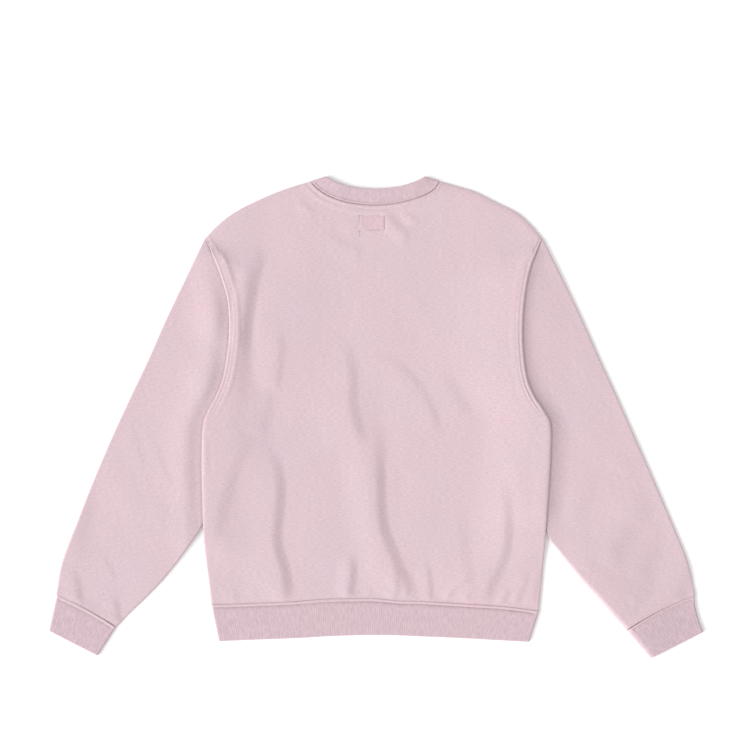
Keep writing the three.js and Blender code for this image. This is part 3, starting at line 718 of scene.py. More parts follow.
def rounded(distance, radius):
    """A quarter circle from 0 at an edge to 1 at the radius."""
    t = np.clip(distance / radius, 0, 1)
    return np.sqrt(np.clip(1 - (1 - t) ** 2, 0, 1))


def band_relief(rows, distance):
    table = [{"d": d, "z": z} for d, z in rows]
    return read_rows(table, "d", "z", distance)


def groove(distance, width, depth):
    return -depth * np.exp(-((distance / (width / 2)) ** 2))


def label_relief(x, y):
    """A woven label behind the cloth lifts it, and its stitches sink it all round."""
    across = np.minimum(x - LABEL["left"], LABEL["right"] - x)
    up = np.minimum(y - LABEL["bottom"], LABEL["top"] - y)
    inside = np.minimum(across, up)
    outside = np.hypot(np.minimum(across, 0), np.minimum(up, 0))
    distance = np.where(inside > 0, inside, outside)
    lift = LABEL_LIFT * smoothstep(-0.002, 0.001, np.where(inside > 0, inside, -outside))
    return lift + groove(distance, LABEL_GROOVE["width"], LABEL_GROOVE["depth"])


# Meshes

def make_piece(name, points, faces, materials, uv, face_materials=None):
    """A smooth mesh with its cloth coordinates, in metres, in a map named cloth."""
    mesh = bpy.data.meshes.new(name)
    mesh.from_pydata(np.asarray(points, float).tolist(), [], faces)
    for material in materials:
        mesh.materials.append(material)
    layer = mesh.uv_layers.new(name="cloth")
    corner = np.empty(len(mesh.loops), np.int32)
    mesh.loops.foreach_get("vertex_index", corner)
    layer.uv.foreach_set("vector", np.asarray(uv, np.float32)[corner].ravel())
    mesh.polygons.foreach_set("use_smooth", np.ones(len(mesh.polygons), bool))
    if face_materials is not None:
        mesh.polygons.foreach_set("material_index", np.asarray(face_materials, np.int32))
    mesh.update()
    piece = bpy.data.objects.new(name, mesh)
    bpy.context.collection.objects.link(piece)
    return piece


def grid_faces(rows, columns, start=0, flip=False, closed_rows=False, closed_columns=False):
    j, i = np.meshgrid(
        np.arange(rows if closed_rows else rows - 1),
        np.arange(columns if closed_columns else columns - 1),
        indexing="ij",
    )
    next_i, next_j = (i + 1) % columns, (j + 1) % rows
    near, far = j * columns, next_j * columns
    quads = np.stack([near + i, near + next_i, far + next_i, far + i], -1)
    quads = quads.reshape(-1, 4) + start
    return (quads[:, ::-1] if flip else quads).tolist()


def rim(rows, columns, us, vs, start):
    """The boundary of a grid, in order, with each point's place round it from 0 to 4."""
    index = np.arange(rows * columns).reshape(rows, columns) + start
    loop = [(index[0, i], us[i]) for i in range(columns - 1)]
    loop += [(index[j, -1], 1 + vs[j]) for j in range(rows - 1)]
    loop += [(index[-1, i], 3 - us[i]) for i in range(columns - 1, 0, -1)]
    loop += [(index[j, 0], 4 - vs[j]) for j in range(rows - 1, 0, -1)]
    return loop


def zip_loops(a, b, end, flip=False):
    """Triangles between two closed loops that may have different numbers of points."""
    faces, i, j = [], 0, 0
    while i < len(a) or j < len(b):
        next_a = a[i + 1][1] if i + 1 < len(a) else end
        next_b = b[j + 1][1] if j + 1 < len(b) else end
        if j >= len(b) or (i < len(a) and next_a <= next_b):
            faces.append((int(a[i % len(a)][0]), int(a[(i + 1) % len(a)][0]), int(b[j % len(b)][0])))
            i += 1
        else:
            faces.append((int(a[i % len(a)][0]), int(b[(j + 1) % len(b)][0]), int(b[j % len(b)][0])))
            j += 1
    return [face[::-1] for face in faces] if flip else faces


def panel(name, plan, fine, coarse, fine_height, coarse_height, fine_is_up, materials):
    """A closed sheet: a fine grid on the side that shows, a coarse one on the other."""
    points, faces, uv, rims = [], [], [], []
    for (us, vs), height, up in ((fine, fine_height, fine_is_up), (coarse, coarse_height, not fine_is_up)):
        x, y = plan(us[None, :], vs[:, None])
        start = sum(len(p) for p in points)
        points.append(np.stack([x, y, height(x, y)], -1).reshape(-1, 3))
        uv.append(np.stack([x, y], -1).reshape(-1, 2))
        faces += grid_faces(len(vs), len(us), start, flip=not up)
        rims.append(rim(len(vs), len(us), us, vs, start))
    faces += zip_loops(rims[0], rims[1], 4, flip=fine_is_up)
    return make_piece(name, np.concatenate(points), faces, materials, np.concatenate(uv))


def ring_slots(upper, lower, turn_steps=6):
    """Places round a flattened tube: which wall, which turn or how far across."""
    quarter = np.linspace(0, np.pi / 2, turn_steps + 1)
    slots = [(True, "left", a, 0) for a in quarter]
    slots += [(True, None, 0, s) for s in upper]
    slots += [(True, "right", a, 0) for a in quarter[::-1]]
    slots += [(False, "right", a, 0) for a in quarter[1:]]
    slots += [(False, None, 0, s) for s in lower[::-1]]
    slots += [(False, "left", a, 0) for a in quarter[:0:-1]]
    return slots


def tube_piece(name, tube, rows, slots, materials, face_material=None):
    """A flattened tube with an inside. Each row is a station along it and a depth in the wall:
    1 on the outside, 0 on the inside."""
    v = np.array([row[0] for row in rows])[:, None]
    depth = np.array([row[1] for row in rows])[:, None]
    upper = np.array([slot[0] for slot in slots])[None, :]
    turn = np.array([slot[1] is not None for slot in slots])[None, :]
    right = np.array([slot[1] == "right" for slot in slots])[None, :]
    angle = np.array([slot[2] for slot in slots])[None, :]
    share = np.array([slot[3] for slot in slots])[None, :]
    width = tube["width"](v)
    sunk = (1 - depth) * tube["wall"]

    def half_at(x, y):
        return (tube["top"](x, y) - tube["bottom"](x, y)) / 2 - sunk

    first, last = (half_at(*tube["upper_plan"](np.full_like(v, end), v)) for end in (0.0, 1.0))
    inset = (sunk + np.where(right, last, first) * (1 - np.cos(angle))) / width
    wall_share = lerp((sunk + first) / width, 1 - (sunk + last) / width, share)
    across = np.where(turn, np.where(right, 1 - inset, inset), wall_share)
    v_all = np.broadcast_to(v, across.shape)
    plans = [tube["upper_plan"](across, v_all), tube["lower_plan"](across, v_all)]
    x, y = (np.where(upper, plans[0][k], plans[1][k]) for k in (0, 1))
    top, bottom = tube["top"](x, y), tube["bottom"](x, y)
    outer = np.clip(depth * 2 - 1, 0, 1)
    fade = np.where(turn, 0, smoothstep(0, 0.02, share) * smoothstep(1, 0.98, share))
    relief = tube["relief"](across, v_all, upper) * outer * fade
    wall_z = np.where(upper, top - sunk + relief, bottom + sunk - relief)
    middle, rise = (top + bottom) / 2, ((top - bottom) / 2 - sunk) * np.sin(angle)
    turn_z = np.where(upper, middle + rise, middle - rise)
    z = np.where(turn, turn_z, wall_z)
    points = np.stack([x, y, np.maximum(z, 0)], -1).reshape(-1, 3)
    if "grain" in tube:
        run_x, run_y = tube["grain"]
        cloth = [np.where(upper, 1, -1) * (x * run_y - y * run_x), x * run_x + y * run_y]
    else:
        cloth = [np.where(upper, across, -across) * tube["width"](0.5), v_all * tube["length"]]
    cloth = np.stack(cloth, -1).reshape(-1, 2)
    faces = grid_faces(len(rows), len(slots), closed_rows=True, closed_columns=True, flip=tube["flip"])
    marks = None
    if face_material is not None:
        marks = np.repeat([face_material(row) for row in rows], len(slots))
    return make_piece(name, points, faces, materials, cloth, marks)


def plan_width(plan):
    """Width of a flattened tube at a station, from how fast its plan runs near one edge."""
    step = 0.02
    def width(v):
        v = np.asarray(v, float)
        (x0, y0), (x1, y1) = plan(np.zeros_like(v), v), plan(np.full_like(v, step), v)
        return np.hypot(x1 - x0, y1 - y0) / step
    return width


def wall_rows(length, step, wall, start_drop, end_drop, inner=8, near=EDGE_STATIONS):
    """Stations and depths: up the outside with rounded ends, and back down the inside."""
    stations = graded(length, step, near, EDGE_STATIONS) * length
    def depth_at(s, start, end):
        first, last = rounded(s, wall * 0.6), rounded(length - s, wall * 0.6)
        return np.minimum(1 - start * (1 - first), 1 - end * (1 - last))
    outside = depth_at(stations, start_drop, end_drop)
    rows = list(zip(stations / length, outside))
    back = graded(length, length / inner, near=INSIDE_STATIONS) * length
    inside = 0.5 - 0.5 * depth_at(back, 1.0, 1.0)
    return rows + list(zip(back[::-1] / length, inside[::-1]))


# Materials

class Nodes:
    """A short way to add and link shader nodes."""

    def __init__(self, material):
        material.use_nodes = True
        self.tree = material.node_tree
        self.shader = self.tree.nodes["Principled BSDF"]

    def add(self, kind, settings=None, **inputs):
        node = self.tree.nodes.new(kind)
        for key, value in (settings or {}).items():
            setattr(node, key, value)
        for key, value in inputs.items():
            self.plug(node, key.replace("_", " "), value)
        return node

    def plug(self, node, key, value):
        socket = node.inputs[int(key[1:])] if key[0] == "i" and key[1:].isdigit() else node.inputs[key]
        if isinstance(value, bpy.types.NodeSocket):
            self.tree.links.new(value, socket)
        else:
            socket.default_value = value

    def math(self, operation, a, b=0.0):
        return self.add("ShaderNodeMath", {"operation": operation}, i0=a, i1=b).outputs[0]

    def mix(self, factor, a, b, kind="MIX"):
        node = self.add("ShaderNodeMix", {"data_type": "RGBA", "blend_type": kind})
        self.plug(node, "i0", factor)
        self.plug(node, "i6", a)
        self.plug(node, "i7", b)
        return node.outputs[2]


def label_shade(n, across, along):
    """1 where the label lies behind the cloth, with soft edges."""
    inside = None
    for place, low, high in ((across, "left", "right"), (along, "bottom", "top")):
        for middle, soft in ((LABEL[low], LABEL_SOFT), (LABEL[high], -LABEL_SOFT)):
            edge = n.add("ShaderNodeMapRange", i0=place, i1=middle - soft, i2=middle + soft).outputs[0]
            inside = edge if inside is None else n.math("MINIMUM", inside, edge)
    return inside


def cloth_material(name, colour, wale, course, streak, sheen, with_label=False):
    """Knit cloth: rows of small V stitches, uneven yarn and a soft fuzz."""
    material = bpy.data.materials.new(name)
    n = Nodes(material)
    place = n.add("ShaderNodeUVMap", {"uv_map": "cloth"}).outputs[0]
    axes = n.add("ShaderNodeSeparateXYZ", i0=place)
    across, along = axes.outputs[0], axes.outputs[1]

    # Stitches: each wale is a round cord whose loops lean in from both sides
    wale_place = n.math("DIVIDE", across, wale)
    off_centre = n.math("ABSOLUTE", n.math("SUBTRACT", n.math("FRACT", wale_place), 0.5))
    lean = n.math("MULTIPLY", off_centre, 1.1)
    course_place = n.math("ADD", n.math("DIVIDE", along, course), lean)
    loop = n.math("SINE", n.math("MULTIPLY", course_place, 2 * math.pi))
    cord = n.math("SUBTRACT", 1.0, n.math("POWER", n.math("MULTIPLY", off_centre, 2.0), 2.0))
    stitch = n.math("MULTIPLY", cord, n.math("ADD", n.math("MULTIPLY", loop, 0.35), 0.65))

    # Uneven yarn: short streaks along the courses, and a broader mottle
    stretched = n.add("ShaderNodeMapping", Vector=place, Scale=streak).outputs[0]
    streaks = n.add("ShaderNodeTexNoise", Vector=stretched, Scale=1.0, Detail=3.0, Roughness=0.6).outputs[0]
    mottle = n.add("ShaderNodeTexNoise", Vector=place, Scale=260.0, Detail=4.0, Roughness=0.65).outputs[0]
    broad = n.add("ShaderNodeTexNoise", Vector=place, Scale=9.0, Detail=2.0, Roughness=0.5).outputs[0]
    uneven = n.math("ADD", n.math("MULTIPLY", streaks, 0.75), n.math("MULTIPLY", mottle, 0.25))
    dark = [c * 0.86 for c in colour] + [1.0]
    light = [min(1.0, c * 1.10) for c in colour] + [1.0]
    spread = n.add("ShaderNodeMapRange", i0=uneven, i1=0.34, i2=0.66).outputs[0]
    tone = n.mix(spread, dark, light)
    warm = n.mix(n.add("ShaderNodeMapRange", i0=broad, i1=0.35, i2=0.65).outputs[0],
                 (0.985, 0.99, 1.0, 1.0), (1.0, 0.985, 0.98, 1.0))
    tone = n.mix(1.0, tone, warm, "MULTIPLY")
    if with_label:
        tone = n.mix(label_shade(n, across, along), tone, n.mix(1.0, tone, LABEL_SHADE, "MULTIPLY"))
    # Painted shade: the colour darkens in the hollows between the cords and the loops of the stitches, where
    # the stitch relief is low
    painted_knit_shade = n.mix(n.add("ShaderNodeMapRange", i0=stitch, i1=0.0, i2=0.75).outputs[0],
                  (0.88, 0.87, 0.88, 1.0), (1.0, 1.0, 1.0, 1.0))
    n.plug(n.shader, "Base Color", n.mix(1.0, tone, painted_knit_shade, "MULTIPLY"))

    fuzz = n.add("ShaderNodeTexNoise", Vector=place, Scale=1500.0, Detail=3.0, Roughness=0.7).outputs[0]
    relief = n.math("ADD", stitch, n.math("MULTIPLY", fuzz, 0.7))
    bump = n.add("ShaderNodeBump", Strength=0.35, Distance=0.0003, Height=relief).outputs[0]
    n.plug(n.shader, "Normal", bump)
    n.shader.inputs["Roughness"].default_value = 0.92
    n.shader.inputs["Specular IOR Level"].default_value = 0.15
    n.shader.inputs["Sheen Weight"].default_value = sheen
    n.shader.inputs["Sheen Roughness"].default_value = 0.45
    n.shader.inputs["Sheen Tint"].default_value = (1.0, 0.93, 0.94, 1.0)
    return material


def thread_material(name, colour):
    """Twisted sewing thread."""
    material = bpy.data.materials.new(name)
    n = Nodes(material)
    place = n.add("ShaderNodeTexCoord").outputs["Object"]
    diagonal = {"bands_direction": "DIAGONAL"}
    wave = n.add("ShaderNodeTexWave", diagonal, Vector=place, Scale=900.0, Distortion=1.5)
    # Painted shade: the thread's colour darkens along the low bands of its twist, the same bands its bump
    # sinks
    tone = n.mix(wave.outputs["Fac"], [c * 0.86 for c in colour] + [1.0], list(colour) + [1.0])
    n.plug(n.shader, "Base Color", tone)
    bump = n.add("ShaderNodeBump", Strength=0.4, Distance=0.0001, Height=wave.outputs["Fac"]).outputs[0]
    n.plug(n.shader, "Normal", bump)
    n.shader.inputs["Roughness"].default_value = 0.6
    n.shader.inputs["Sheen Weight"].default_value = 0.2
    return material


FLEECE_COLOUR = (0.766, 0.594, 0.634)
LABEL_SHADE = (0.985, 0.940, 0.955, 1.0)
RIB_COLOUR = (0.716, 0.541, 0.588)
THREAD_COLOUR = (0.780, 0.610, 0.640)
LABEL_THREAD_COLOUR = (0.26, 0.14, 0.165)
FLEECE_KNIT = (0.00115, 0.00085, (170.0, 850.0, 1.0), 0.25)  # wale, course, streak, sheen
fleece_cloth = cloth_material("fleece_cloth", FLEECE_COLOUR, *FLEECE_KNIT)
back_cloth = cloth_material("fleece_cloth_back", FLEECE_COLOUR, *FLEECE_KNIT, with_label=True)
rib_cloth = cloth_material("rib_cloth", RIB_COLOUR, 0.0008, 0.0009, (420.0, 90.0, 1.0), 0.2)
thread = thread_material("sewing_thread", THREAD_COLOUR)
label_thread = thread_material("label_thread", LABEL_THREAD_COLOUR)


# Pieces

BACK_MESH = {"shoulder": 0.00185, "neck": 0.0018, "along": 0.0022, "thinned": 6}
FRONT_MESH = {"shoulder": 0.0032, "neck": 0.0028, "along": 0.0036, "thinned": 4}
SLEEVE_MESH = {"along": 0.0021, "inside": 40, "upper": 100, "lower": 36}
SLEEVE_LENGTH = 0.60
ARMHOLE_FOOT = 0.0  # height at which the armholes begin
BODY_LENGTH = SHOULDER_ROWS[-1]["y"] - HEM_CORNER["left"]
BODY_WIDTH = SHOULDER_POINT["right"] - SHOULDER_POINT["left"]


def body_grids(steps):
    """Stations of a body panel's fine side and of its coarse one. The columns run over one
    shoulder, round the neck and over the other shoulder."""
    shoulder = graded(NECK_SHARE[0] * BODY_WIDTH, steps["shoulder"]) * NECK_SHARE[0]
    share = NECK_SHARE[1] - NECK_SHARE[0]
    neck = NECK_SHARE[0] + graded(share * BODY_WIDTH, steps["neck"]) * share
    columns = np.concatenate([shoulder[:-1], neck, 1 - shoulder[:-1][::-1]])
    fine = (columns, graded(BODY_LENGTH, steps["along"]))
    return fine, tuple(np.append(stations[:-1][::steps["thinned"]], 1.0) for stations in fine)


back_neck = neck_line(NECK_ROWS["back"])
front_neck = neck_line(NECK_ROWS["front"])
ARMHOLE_START = {
    side: (ARMHOLE_FOOT - HEM_CORNER[side]) / (SHOULDER_Y - HEM_CORNER[side]) for side in SIDES
}
ARMHOLE = {
    side: curve_points(lambda t, side=side: side_edge(side)(lerp(ARMHOLE_START[side], 1.0, t)))
    for side in SIDES
}
SIDE_LINE = {side: curve_points(side_edge(side)) for side in SIDES}
SHOULDER_LINE = {
    "left": curve_points(lambda t: top_edge(back_neck)(t * NECK_SHARE[0])),
    "right": curve_points(lambda t: top_edge(back_neck)(lerp(1.0, NECK_SHARE[1], t))),
}
HEM_LINE = curve_points(hem_seam(SLIT))
NECK_LINES = {"back": curve_points(back_neck), "front": curve_points(front_neck)}


def edge_distances(x, y, neck):
    """Distances to the edges of a body panel."""
    reach = 0.030
    edges = {side: distance_to(SIDE_LINE[side], x, y, reach)[0] for side in SIDES}
    shoulders = [distance_to(SHOULDER_LINE[side], x, y, reach)[0] for side in SIDES]
    edges["shoulder"] = np.minimum(*shoulders)
    edges["neck"] = distance_to(NECK_LINES[neck], x, y, reach)[0]
    edges["hem"] = distance_to(HEM_LINE, x, y, reach)[0]
    edges["side"] = np.minimum(edges["left"], edges["right"])
    return edges


def back_folds(x, y, edges):
    """Folds of the back, which end at the sewn edges."""
    free = lerp(0.2, 1.0, smoothstep(0.0005, 0.010, edges["hem"])) * smoothstep(0, 0.008, edges["neck"])
    return np.maximum(fold_height(BACK_FOLDS, x, y), -FOLD_VALLEY) * free


def back_detail(x, y, edges):
    """Seam bands, label stitching, gathers and wrinkles of the back."""
    on_armhole = smoothstep(-0.008, 0.026, y)
    narrower = lerp(1, BAND_NARROWS, smoothstep(SHOULDER_Y - SHOULDER_RAMP, SHOULDER_Y, y))
    detail = sum(band_relief(ARMHOLE_BAND[side], edges[side] * narrower) for side in SIDES) * on_armhole
    detail = detail + band_relief(NECK_BAND, edges["neck"]) + label_relief(x, y)
    detail = detail + puckers(x, edges["hem"])
    detail = detail + groove(edges["hem"] - HEM_STITCHES, HEM_GROOVE["width"], HEM_GROOVE["depth"])
    nearest = np.minimum(np.minimum(edges["side"], edges["neck"]), edges["shoulder"])
    return detail + wrinkles(x, y) * smoothstep(0, 0.02, nearest) * smoothstep(0, 0.01, edges["hem"])


def back_top(x, y):
    edges = edge_distances(x, y, "back")
    rest = back_rise(x, y) + back_folds(x, y, edges)
    roll = underarm(x, y)
    wall = FLEECE + UNDERARM_ROLL * roll + back_detail(x, y, edges)
    sewn_flat = smoothstep(SEWN_FLAT["start"], SEWN_FLAT["end"], y)
    radius = lerp(BACK_EDGE["side"], BACK_EDGE["underarm"], roll) * lerp(1, 0.4, sewn_flat)
    edge = lerp(0.75 * sewn_flat, 1.0, rounded(edges["side"], radius))
    for name, least in (("shoulder", 0.0), ("neck", 0.4), ("hem", 0.8)):
        edge = np.minimum(edge, lerp(least, 1.0, rounded(edges[name], BACK_EDGE[name])))
    return rest + THIN + (wall - THIN) * edge


def back_underside(x, y):
    edges = edge_distances(x, y, "back")
    return back_rise(x, y) + back_folds(x, y, edges)


def build_back():
    grids = body_grids(BACK_MESH)
    return panel("cloth_back", body_plan("back"), *grids, back_top, back_underside, True, [back_cloth])


def front_underside(x, y):
    """The side that rests: creases and seam grooves lie just above the floor."""
    edges = edge_distances(x, y, "front")
    edge = rounded(np.minimum(edges["side"], edges["shoulder"]), FRONT_EDGE["side"])
    at_seam = rounded(np.minimum(edges["neck"], edges["hem"]), FRONT_EDGE["seam"])
    edge = np.minimum(edge, lerp(0.5, 1.0, at_seam))
    seams = sum(groove(edges["neck"] - row, *FRONT_GROOVE) for row in NECK_STITCHES)
    on_armhole = smoothstep(-0.020, 0.010, y)
    for side in SIDES:
        rows = ARMHOLE_STITCHES[side]
        seams = seams + on_armhole * sum(groove(edges[side] - row, *FRONT_GROOVE) for row in rows)
    return (FLEECE - THIN) * (1 - edge) + np.maximum(fold_height(FRONT_FOLDS, x, y), 0) + seams


def front_top(x, y):
    return np.full_like(x, FLEECE)


def build_front():
    grids = body_grids(FRONT_MESH)
    plan = body_plan("front")
    return panel("cloth_front", plan, *grids, front_underside, front_top, False, [fleece_cloth])


def sleeve_plan(side):
    rows = SLEEVE_ROWS[side]
    def edge(which):
        return lambda v: [read_rows(rows, "along", f"{which}_{axis}", v) for axis in "xy"]
    def head(u):
        y = lerp(SHOULDER_Y, rows[0]["inner_y"], u)
        return [side_x(side, y) - SIGN[side] * lap_at(y), y]
    def cuff_seam(u):
        end, bow = rows[-1], CUFFS[side]["bow"] * hump(u)
        return [lerp(end["outer_x"], end["inner_x"], u), lerp(end["outer_y"], end["inner_y"], u) + bow]
    return patch(head, cuff_seam, edge("outer"), edge("inner"))


SLEEVE_FALL = {
    "left": lambda t: 1 - smoothstep(0, 1, t),
    "right": lambda t: (1 - np.clip(t, 0, 1)) ** 2,
}


def sleeve_top(side, plan):
    """Height of a sleeve's upper side: it dips beside the body, then falls to its outer edge."""
    seam = curve_points(lambda u: plan(u, np.ones_like(u)))
    outer = curve_points(lambda v: plan(np.zeros_like(v), v))
    def top(x, y):
        out = -inside_side(side, x, y)
        from_cuff, along = distance_to(seam, x, y, 0.240)
        from_outer = distance_to(outer, x, y, 0.160)[0]
        raised = SLEEVE_FALL[side]((out - SLEEVE_CLEAR[side]) / SLEEVE_TOP_RAMP[side])
        raised = raised * smoothstep(SHOULDER_Y, SHOULDER_Y - SHOULDER_RAMP, y)
        dip = read_rows(DIP_ROWS[side], "y", "dip", y)
        beside = dip * smoothstep(0, DIP_WIDTH[side], out) * smoothstep(0.075, DIP_WIDTH[side], out)
        seam_dip = groove(out, SEAM_DIP["width"], SEAM_DIP["depth"])
        beside = beside + seam_dip * smoothstep(SHOULDER_Y, 0.250, y)
        form = SLEEVE_LOFT[side]
        loft = form["height"] * smoothstep(0, form["crown"], from_outer)
        loft = loft * smoothstep(form["foot"], form["crown"], from_outer) * smoothstep(0.004, 0.030, out)
        loft = loft * smoothstep(0.002, form["fade"], from_cuff) * smoothstep(SHOULDER_Y - 0.01, 0.200, y)
        detail = wrinkles(x * 0.9 + y * 0.4 + 1.0, y) * smoothstep(0, 0.02, from_outer)
        detail = detail + puckers(along * 0.1, from_cuff)
        detail = detail * smoothstep(0.002, 0.015, out)
        folds = fold_height(SLEEVE_FOLDS[side], x, y) * smoothstep(0.0, 0.014, out)
        folds = folds * lerp(0.2, 1.0, smoothstep(0.0005, 0.010, from_cuff))
        seam_line = groove(from_cuff - HEM_STITCHES, HEM_GROOVE["width"], HEM_GROOVE["depth"])
        rest = SLEEVE_STACK + SLEEVE_LIFT * raised + edge_lift(side, x, y) + cuff_puff(side, x, y)
        rest = rest + CUFF_SEAM_RISE["height"] * smoothstep(CUFF_SEAM_RISE["width"], 0, from_cuff)
        return rest + beside + loft + folds + detail + seam_line
    return top


def build_sleeve(side):
    plan = sleeve_plan(side)
    head, end = SLEEVE_ROWS[side][0], SLEEVE_ROWS[side][-1]
    run = Vector([end[key] - head[key] for key in ("outer_x", "outer_y")]).normalized()
    tube = {
        "upper_plan": plan,
        "lower_plan": plan,
        "width": plan_width(plan),
        "length": SLEEVE_LENGTH,
        "grain": (run.x, run.y),
        "wall": FLEECE,
        "top": sleeve_top(side, plan),
        "bottom": lambda x, y: sleeve_underside(side, x, y),
        "relief": lambda u, v, upper: np.zeros_like(u),
        "flip": side == "right",
    }
    step, inside = SLEEVE_MESH["along"], SLEEVE_MESH["inside"]
    rows = wall_rows(SLEEVE_LENGTH, step, FLEECE, start_drop=0.0, end_drop=0.15, inner=inside)
    slots = ring_slots(*(np.linspace(0, 1, SLEEVE_MESH[wall])[1:-1] for wall in ("upper", "lower")))
    return tube_piece(f"cloth_sleeve_{side}", tube, rows, slots, [fleece_cloth])


def rib_relief(count, length, welt, depth):
    """Ribs as relief on a band's outer walls, with a welt and ditch or a plain lip at the seam."""
    def relief(u, v, upper):
        from_seam = v * length
        first = WELT_WIDTH if welt else COLLAR_LIP["width"]
        ribs = RIB_RELIEF["band" if welt else "collar"] * (np.abs(np.cos(np.pi * u * count)) ** 0.7 - 0.5)
        ribs = ribs * smoothstep(first, first + DITCH_WIDTH, from_seam)
        ribs = ribs * smoothstep(0.0, 0.0020, length - from_seam)
        if welt:
            crown = hump(np.clip(from_seam / WELT_WIDTH, 0, 1))
            bulge = depth * WELT_RELIEF * np.sqrt(np.clip(crown, 0, 1))
            bulge = bulge + groove(from_seam - WELT_WIDTH - DITCH_WIDTH / 2, DITCH_WIDTH, depth * DITCH_DEPTH)
            bulge = bulge - depth * WELT_SINK * smoothstep(WELT_WIDTH, 0, from_seam)
        else:
            bulge = COLLAR_LIP["height"] * hump(np.clip(from_seam / COLLAR_LIP["width"], 0, 1))
        above = ribs + bulge
        return np.where(upper, above, np.minimum(above, 0.0))
    return relief


def rib_piece(name, upper_plan, lower_plan, width, length, top, welt=True, flip=False, depth=1.0):
    count = round(width / RIB_PITCH)
    tube = {
        "upper_plan": upper_plan,
        "lower_plan": lower_plan,
        "width": plan_width(upper_plan),
        "length": length,
        "wall": RIB,
        "top": top,
        "bottom": lambda x, y: np.zeros_like(x),
        "relief": rib_relief(count, length, welt, depth),
        "flip": flip,
    }
    across = np.linspace(0, 1, count * POINTS_PER_RIB + 1)[1:-1]
    if welt:
        rows = wall_rows(length, 0.0030, RIB, start_drop=0.10, end_drop=0.5, near=WELT_STATIONS)
    else:
        rows = wall_rows(length, 0.0016, RIB, start_drop=0.5, end_drop=0.5)
    welt_end = (WELT_WIDTH + DITCH_WIDTH / 2) / length
    def on_welt(row):
        return 1 if welt and row[0] < welt_end and row[1] > 0.5 else 0
    return tube_piece(name, tube, rows, ring_slots(across, across), [rib_cloth, fleece_cloth], on_welt)


def build_cuff(side):
    cuff = CUFFS[side]
    seam, end = cuff["seam"], cuff["end"]
    def line(ends, rise):
        x0, y0, x1, y1 = ends
        return lambda u: [lerp(x0, x1, u), lerp(y0, y1, u) + rise * hump(u) - SLIT]
    def between(k, drawn_in):
        return lambda v: [
            lerp(seam[k], end[k], v) - SIGN[side] * drawn_in * hump(v),
            lerp(seam[k + 1], end[k + 1], v) - SLIT,
        ]
    plan = patch(line(seam, cuff["bow"]), line(end, 0.0), between(0, cuff["waist"]), between(2, 0.0))
    width = math.hypot(end[2] - end[0], end[3] - end[1])
    length = math.hypot(end[0] - seam[0], end[1] - seam[1])
    def top(x, y):
        return RIB_STACK + 0.5 * wrinkles(x, y) + cuff_puff(side, x, y)
    name, depth = f"cloth_cuff_{side}", SEAM_DEPTH[side]
    cloth = rib_piece(name, plan, plan, width, length, top, flip=side == "right", depth=depth)
    return cloth, [plan, plan]


def build_hem():
    plan = band_plan(hem_seam(0.0), hem_free_edge)
    width = HEM_EDGE["right"] - HEM_EDGE["left"]
    middle = HEM_ROWS[len(HEM_ROWS) // 2]
    length = middle["seam"] - middle["edge"]
    def top(x, y):
        return RIB_STACK + 0.6 * wrinkles(x, y)
    return rib_piece("cloth_hem_band", plan, plan, width, length, top), [plan, plan]


def build_collar():
    lift = 1.5 * GAP
    def arc(seam_name, edge_name):
        return band_plan(neck_line(NECK_ROWS[seam_name], lift), neck_line(NECK_ROWS[edge_name]))
    length = NECK_ROWS["back_edge"][-1]["y"] - NECK_ROWS["back"][-1]["y"]
    def top(x, y):
        from_seam = distance_to(NECK_LINES["back"], x, y, length)[0]
        return RIB_STACK - sag_into_neck(x, y) + COLLAR_RISE * smoothstep(0, length, from_seam)
    upper, lower = arc("back", "back_edge"), arc("front", "front_edge")
    cloth = rib_piece("cloth_collar", upper, lower, back_neck.length, length, top, welt=False, flip=True)
    return cloth, [upper, lower]


# Stitching

def offset_line(curve, distance, turn):
    """A curve moved sideways: turn is 1 to its left, -1 to its right."""
    along = np.gradient(curve, axis=0)
    along /= np.hypot(*along.T)[:, None]
    return curve + turn * distance * np.stack([-along[:, 1], along[:, 0]], axis=1)


def stitch_places(lines):
    """Middles and directions of the stitches along some lines."""
    pitch = STITCH["length"] + STITCH["space"]
    middles, directions = [], []
    for line in lines:
        line = np.asarray(line, float)
        run = run_along(line)
        count = max(1, round(run[-1] / pitch))
        at = (np.arange(count) + 0.5) * run[-1] / count
        ends = [
            np.stack([np.interp(at + d, run, line[:, k]) for k in (0, 1)], axis=1)
            for d in (-STITCH["length"] / 2, STITCH["length"] / 2)
        ]
        middles.append((ends[0] + ends[1]) / 2)
        directions.append(ends[1] - ends[0])
    middles, directions = np.concatenate(middles), np.concatenate(directions)
    return middles, directions / np.hypot(*directions.T)[:, None]


def stitch_piece(name, lines, surface, material, side=1):
    """Rows of short threads on a surface. Each one rises in its middle and sinks at its ends.
    The side is 1 on top of the cloth and -1 below it."""
    middles, directions = stitch_places(lines)
    stations, sides = STITCH["stations"], STITCH["sides"]
    s = np.linspace(-1, 1, stations)[None, :, None]
    angle = np.linspace(0, 2 * np.pi, sides, endpoint=False)[None, None, :]
    radius = STITCH["thickness"] / 2 * np.sqrt(1 - (0.92 * s) ** 2)
    reach = s * STITCH["length"] / 2
    x = middles[:, 0, None, None] + directions[:, 0, None, None] * reach
    y = middles[:, 1, None, None] + directions[:, 1, None, None] * reach
    z = surface(x, y) + side * STITCH["thickness"] * (0.30 - 0.5 * s ** 4)
    px = x - directions[:, 1, None, None] * radius * np.cos(angle)
    py = y + directions[:, 0, None, None] * radius * np.cos(angle)
    pz = np.maximum(z + radius * np.sin(angle), 0)
    points = np.stack(np.broadcast_arrays(px, py, pz), -1).reshape(-1, 3)
    faces = []
    for start in range(0, len(points), stations * sides):
        end = start + stations * sides
        faces += grid_faces(stations, sides, start, closed_columns=True)
        faces += [list(range(start, start + sides))[::-1], list(range(end - sides, end))]
    return make_piece(name, points, faces, [material], np.zeros((len(points), 2)))


